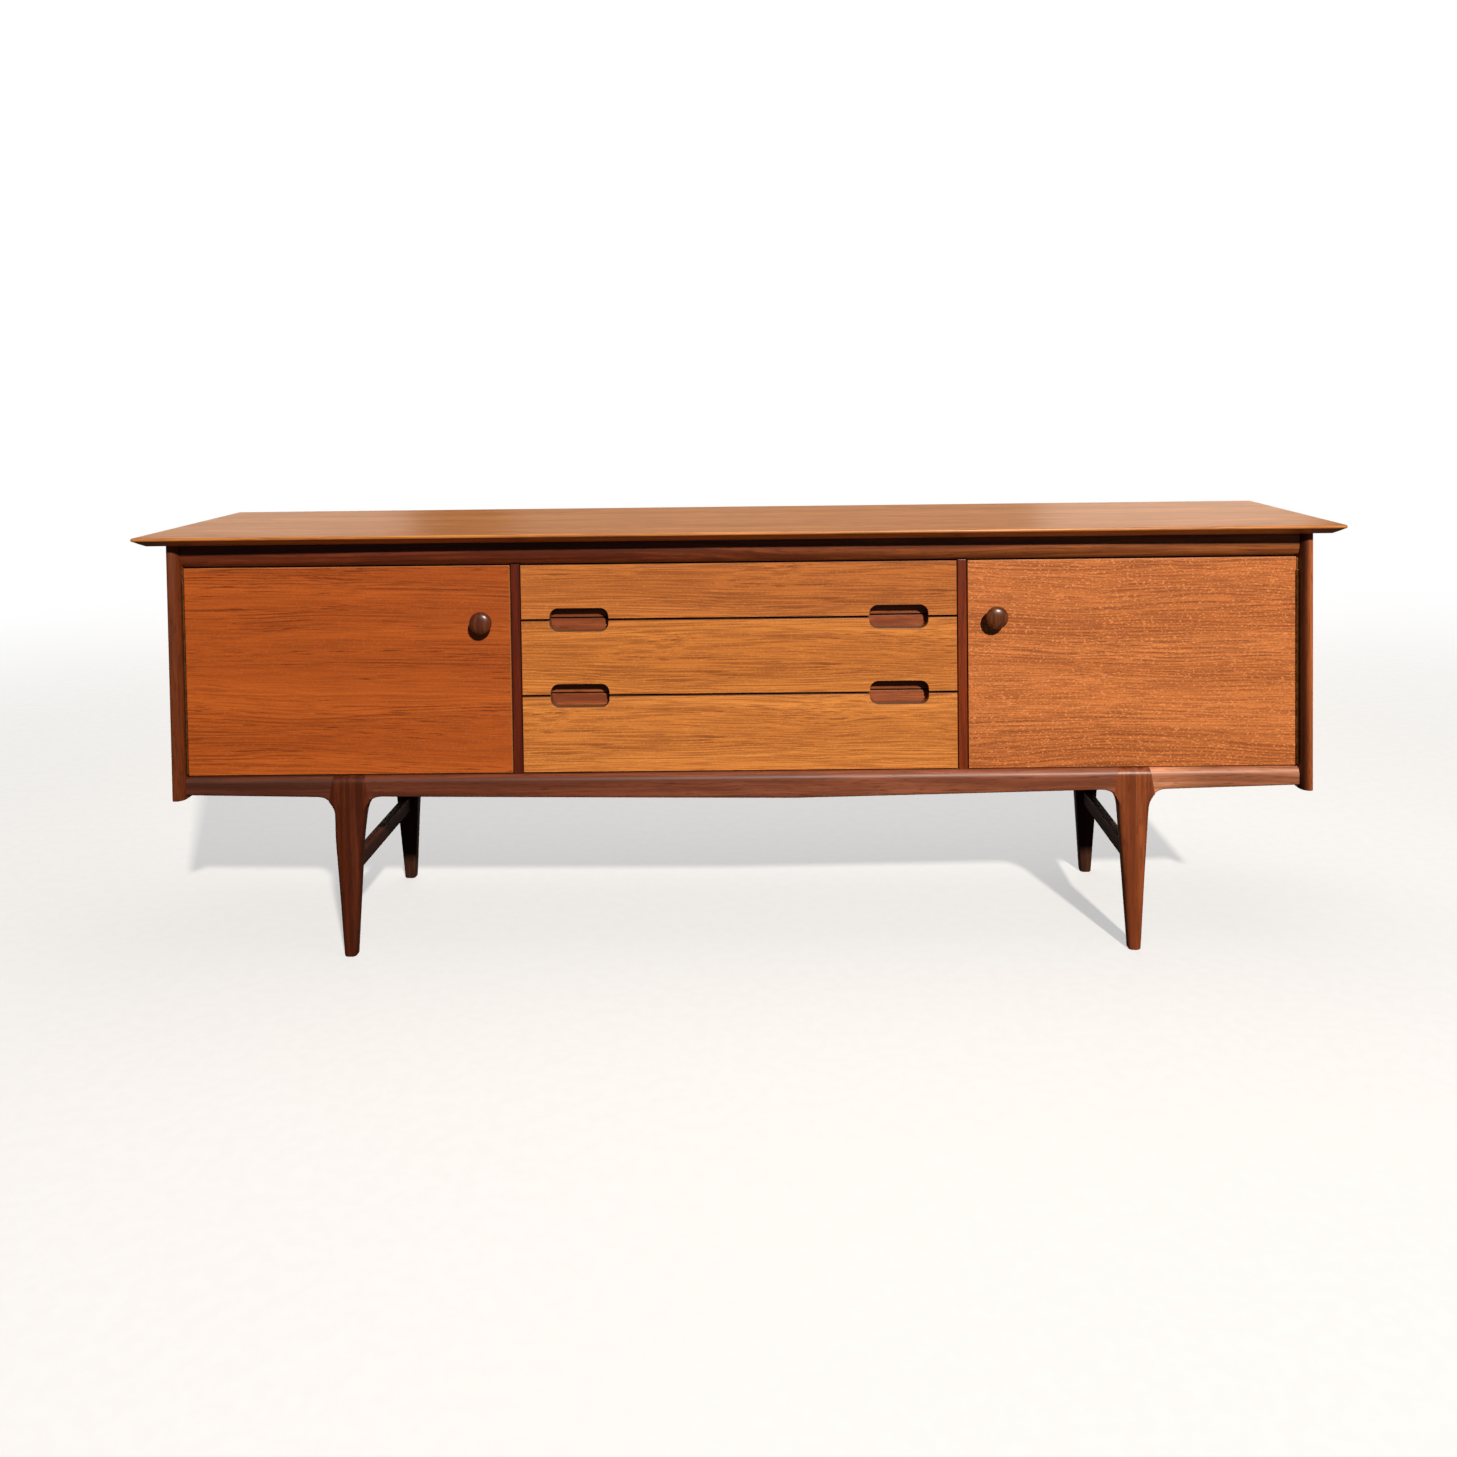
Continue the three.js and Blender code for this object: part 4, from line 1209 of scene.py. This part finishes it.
def build_inside():
    teak = oiled_teak("oiled_teak_inside", colours().teak_middle, "x", (0.2, 0.6, 0.9))
    upright = oiled_teak("oiled_teak_dividers", colours().teak_middle, "z", (0.5, 0.6, 0.9))
    beech = planed_beech("planed_beech_runners", "y", (0.6, 0.3, 0.1))
    dark = dark_hardwood("dark_hardwood_rear_rail", "x", (0.8, 0.3, 0.1), (0.8, 0.8, 0.8))
    board_for("floor_board", "teak_veneer", [teak], face_axis=2)
    board_for("rear_rail", "dark_hardwood", [dark], radius=2 * MM)
    for name, side in SIDES:
        board_for(f"divider_{name}", "teak_veneer", [upright], face_axis=0)
        strip = dark_hardwood(f"dark_hardwood_divider_{name}", "z", (0.12 * side, 0.6, 0.4),
                              DIVIDER_TINTS[name])
        board_for(f"divider_lipping_{name}", "dark_hardwood", [strip], radius=1.0 * MM)
        board_for(f"shelf_{name}", "teak_veneer", [teak], face_axis=2)
        paint_cad(f"runner_ladder_{name}", beech)


# ---- Stage ----

def camera_matrix(place, look_left, look_down, roll):
    """Camera to world: turned left and down from +Y, then rolled, all in degrees."""
    turn, dip, lean = (math.radians(a) for a in (look_left, look_down, roll))
    right = Vector((math.cos(turn), math.sin(turn), 0))
    ahead = Vector((-math.sin(turn), math.cos(turn), 0)) * math.cos(dip)
    ahead.z = -math.sin(dip)
    up = right.cross(ahead)
    rolled_right = right * math.cos(lean) - up * math.sin(lean)
    rolled_up = right * math.sin(lean) + up * math.cos(lean)
    axes = Matrix((rolled_right, rolled_up, -ahead)).transposed()
    return Matrix.Translation(place) @ axes.to_4x4()


def build_camera():
    data = bpy.data.cameras.new("Camera")
    data.lens = 31.33
    data.sensor_width = 36.0
    data.shift_x = -0.0253
    data.shift_y = -0.2113
    camera = bpy.data.objects.new("Camera", data)
    camera.matrix_world = camera_matrix(Vector((0.070, -2.433, 1.028)), 0.453, 1.743, 0.701)
    bpy.context.scene.collection.objects.link(camera)
    bpy.context.scene.camera = camera


def soft_light(name, place, aim, size, power, colour):
    data = bpy.data.lights.new(name, "AREA")
    data.shape = "RECTANGLE"
    data.size, data.size_y = size
    data.energy = power
    data.color = linear(colour)[:3]
    lamp = bpy.data.objects.new(name, data)
    lamp.location = place
    lamp.visible_camera = False
    lamp.rotation_euler = (Vector(aim) - Vector(place)).to_track_quat("-Z", "Y").to_euler()
    bpy.context.scene.collection.objects.link(lamp)


# Name, place and aim along the length, width, and share of the back light's power.
BACK_BOXES = (
    ("right", 2.4, 0.8, 1.6, 1.0),
    ("left", -2.9, -0.8, 1.6, 0.75),
    ("middle", 0, 0, 3.0, 0.6),
)


def build_lights():
    stage = bpy.context.scene.sideboard_stage
    distance = 14.0
    azimuth = math.radians(17.5)
    height = math.radians(32.5)
    aim = Vector((0, FACE_Y, 0.5))
    toward = Vector((math.sin(azimuth) * math.cos(height),
                     -math.cos(azimuth) * math.cos(height), math.sin(height)))
    soft_light("Key", aim + toward * distance, aim, (0.5, 0.5), stage.key_power, "FFF6EA")
    # Boxes behind lay a soft sheen on the top, strongest at its right end.
    for name, x, aim_x, wide, share in BACK_BOXES:
        soft_light(f"Back {name}", (x, 5.0, 1.5), (aim_x, 0, 0.8), (wide, 1.6),
                   share * stage.back_power, "FFF2E4")
    # Below the level of the top, so it reaches only the back and the floor behind.
    soft_light("Low back", (0, 4.0, 0.42), (0, 0.2, 0.42), (5.0, 0.5), stage.low_power, "FFF4E8")
    soft_light("Overhead", (0.2, 0.2, 3.2), (0, 0, 0.7), (3.4, 1.6), stage.fill_power, "FFFFFF")
    world = bpy.data.worlds.new("Pale studio")
    world.use_nodes = True
    tree = world.node_tree
    tree.nodes.clear()
    seen = add_node(tree, "ShaderNodeBackground", {"Color": (1, 1, 1, 1), "Strength": 1.0})
    around = add_node(tree, "ShaderNodeBackground", {
        "Color": linear("F4F6FA"), "Strength": stage.ambient})
    path = add_node(tree, "ShaderNodeLightPath")
    mixed = add_node(tree, "ShaderNodeMixShader", {
        0: path.outputs["Is Camera Ray"], 1: around.outputs[0], 2: seen.outputs[0]})
    output = add_node(tree, "ShaderNodeOutputWorld")
    tree.links.new(mixed.outputs[0], output.inputs["Surface"])
    bpy.context.scene.world = world
    bpy.context.scene.view_settings.view_transform = "Standard"


def build_floor():
    reach = 14.0
    corners = [(-reach, -reach, 0), (reach, -reach, 0), (reach, reach, 0), (-reach, reach, 0)]
    mesh = bpy.data.meshes.new("floor")
    mesh.from_pydata(corners, [], [(0, 1, 2, 3)])
    mesh.materials.append(studio_floor("pale_paper_floor"))
    floor = bpy.data.objects.new("floor", mesh)
    bpy.context.scene.collection.objects.link(floor)


# ---- Operators, panel and running ----

class SIDEBOARD_OT_stage(bpy.types.Operator):
    """Adds the camera, the lights and the floor"""
    bl_idname = "sideboard.stage"
    bl_label = "Stage"

    def execute(self, context):
        build_camera()
        build_lights()
        build_floor()
        return {"FINISHED"}


class SIDEBOARD_OT_top(bpy.types.Operator):
    """Builds the top board with its nose and under-bevel"""
    bl_idname = "sideboard.top"
    bl_label = "Top board"

    def execute(self, context):
        build_top()
        return {"FINISHED"}


class SIDEBOARD_OT_sides(bpy.types.Operator):
    """Builds the sides and the round strips on their front edges"""
    bl_idname = "sideboard.sides"
    bl_label = "Sides"

    def execute(self, context):
        build_sides()
        return {"FINISHED"}


class SIDEBOARD_OT_rails(bpy.types.Operator):
    """Builds the bowed top rail and the three lengths of the shaped bottom rail"""
    bl_idname = "sideboard.rails"
    bl_label = "Rails"

    def execute(self, context):
        build_top_rail()
        build_bottom_rail()
        return {"FINISHED"}


class SIDEBOARD_OT_legs(bpy.types.Operator):
    """Builds the tapered legs and the stretchers between them"""
    bl_idname = "sideboard.legs"
    bl_label = "Legs"

    def execute(self, context):
        build_legs()
        build_stretchers()
        return {"FINISHED"}


class SIDEBOARD_OT_inside(bpy.types.Operator):
    """Builds the floor, dividers, shelves, runners, catches and back"""
    bl_idname = "sideboard.inside"
    bl_label = "Inside"

    def execute(self, context):
        build_inside()
        build_catches()
        build_back()
        return {"FINISHED"}


class SIDEBOARD_OT_doors(bpy.types.Operator):
    """Builds the two doors and their turned knobs"""
    bl_idname = "sideboard.doors"
    bl_label = "Doors"

    def execute(self, context):
        build_doors()
        build_knobs()
        return {"FINISHED"}


class SIDEBOARD_OT_hinges(bpy.types.Operator):
    """Builds the leaves, knuckles and screws of the piano hinges"""
    bl_idname = "sideboard.hinges"
    bl_label = "Hinges"

    def execute(self, context):
        build_hinges()
        return {"FINISHED"}


class SIDEBOARD_OT_drawers(bpy.types.Operator):
    """Builds the drawer fronts and boxes"""
    bl_idname = "sideboard.drawers"
    bl_label = "Drawers"

    def execute(self, context):
        build_drawers()
        return {"FINISHED"}


class SIDEBOARD_OT_pulls(bpy.types.Operator):
    """Builds the scooped blocks behind the finger pulls"""
    bl_idname = "sideboard.pulls"
    bl_label = "Finger pulls"

    def execute(self, context):
        build_pulls()
        return {"FINISHED"}


OPERATORS = (
    SIDEBOARD_OT_stage,
    SIDEBOARD_OT_top,
    SIDEBOARD_OT_sides,
    SIDEBOARD_OT_rails,
    SIDEBOARD_OT_legs,
    SIDEBOARD_OT_inside,
    SIDEBOARD_OT_doors,
    SIDEBOARD_OT_hinges,
    SIDEBOARD_OT_drawers,
    SIDEBOARD_OT_pulls,
)

PROPERTY_GROUPS = {
    "sideboard_sizes": SideboardSizes,
    "sideboard_colours": SideboardColours,
    "sideboard_stage": SideboardStage,
}


class SIDEBOARD_PT_build(bpy.types.Panel):
    """Lists the sideboard's sizes and colours and the steps that build it"""
    bl_label = "Sideboard"
    bl_space_type = "VIEW_3D"
    bl_region_type = "UI"
    bl_category = "Sideboard"

    def draw(self, context):
        for group_name, group in PROPERTY_GROUPS.items():
            box = self.layout.box()
            values = getattr(context.scene, group_name)
            for prop_name in group.__annotations__:
                box.prop(values, prop_name)
        for operator in OPERATORS:
            self.layout.operator(operator.bl_idname)


def register():
    for name, group in PROPERTY_GROUPS.items():
        bpy.utils.register_class(group)
        setattr(bpy.types.Scene, name, bpy.props.PointerProperty(type=group))
    for cls in (*OPERATORS, SIDEBOARD_PT_build):
        bpy.utils.register_class(cls)


def unregister():
    for cls in (SIDEBOARD_PT_build, *reversed(OPERATORS)):
        bpy.utils.unregister_class(cls)
    for name, group in reversed(PROPERTY_GROUPS.items()):
        delattr(bpy.types.Scene, name)
        bpy.utils.unregister_class(group)


def main():
    register()
    for operator in OPERATORS:
        getattr(bpy.ops.sideboard, operator.bl_idname.split(".")[1])()


if __name__ == "__main__":
    main()
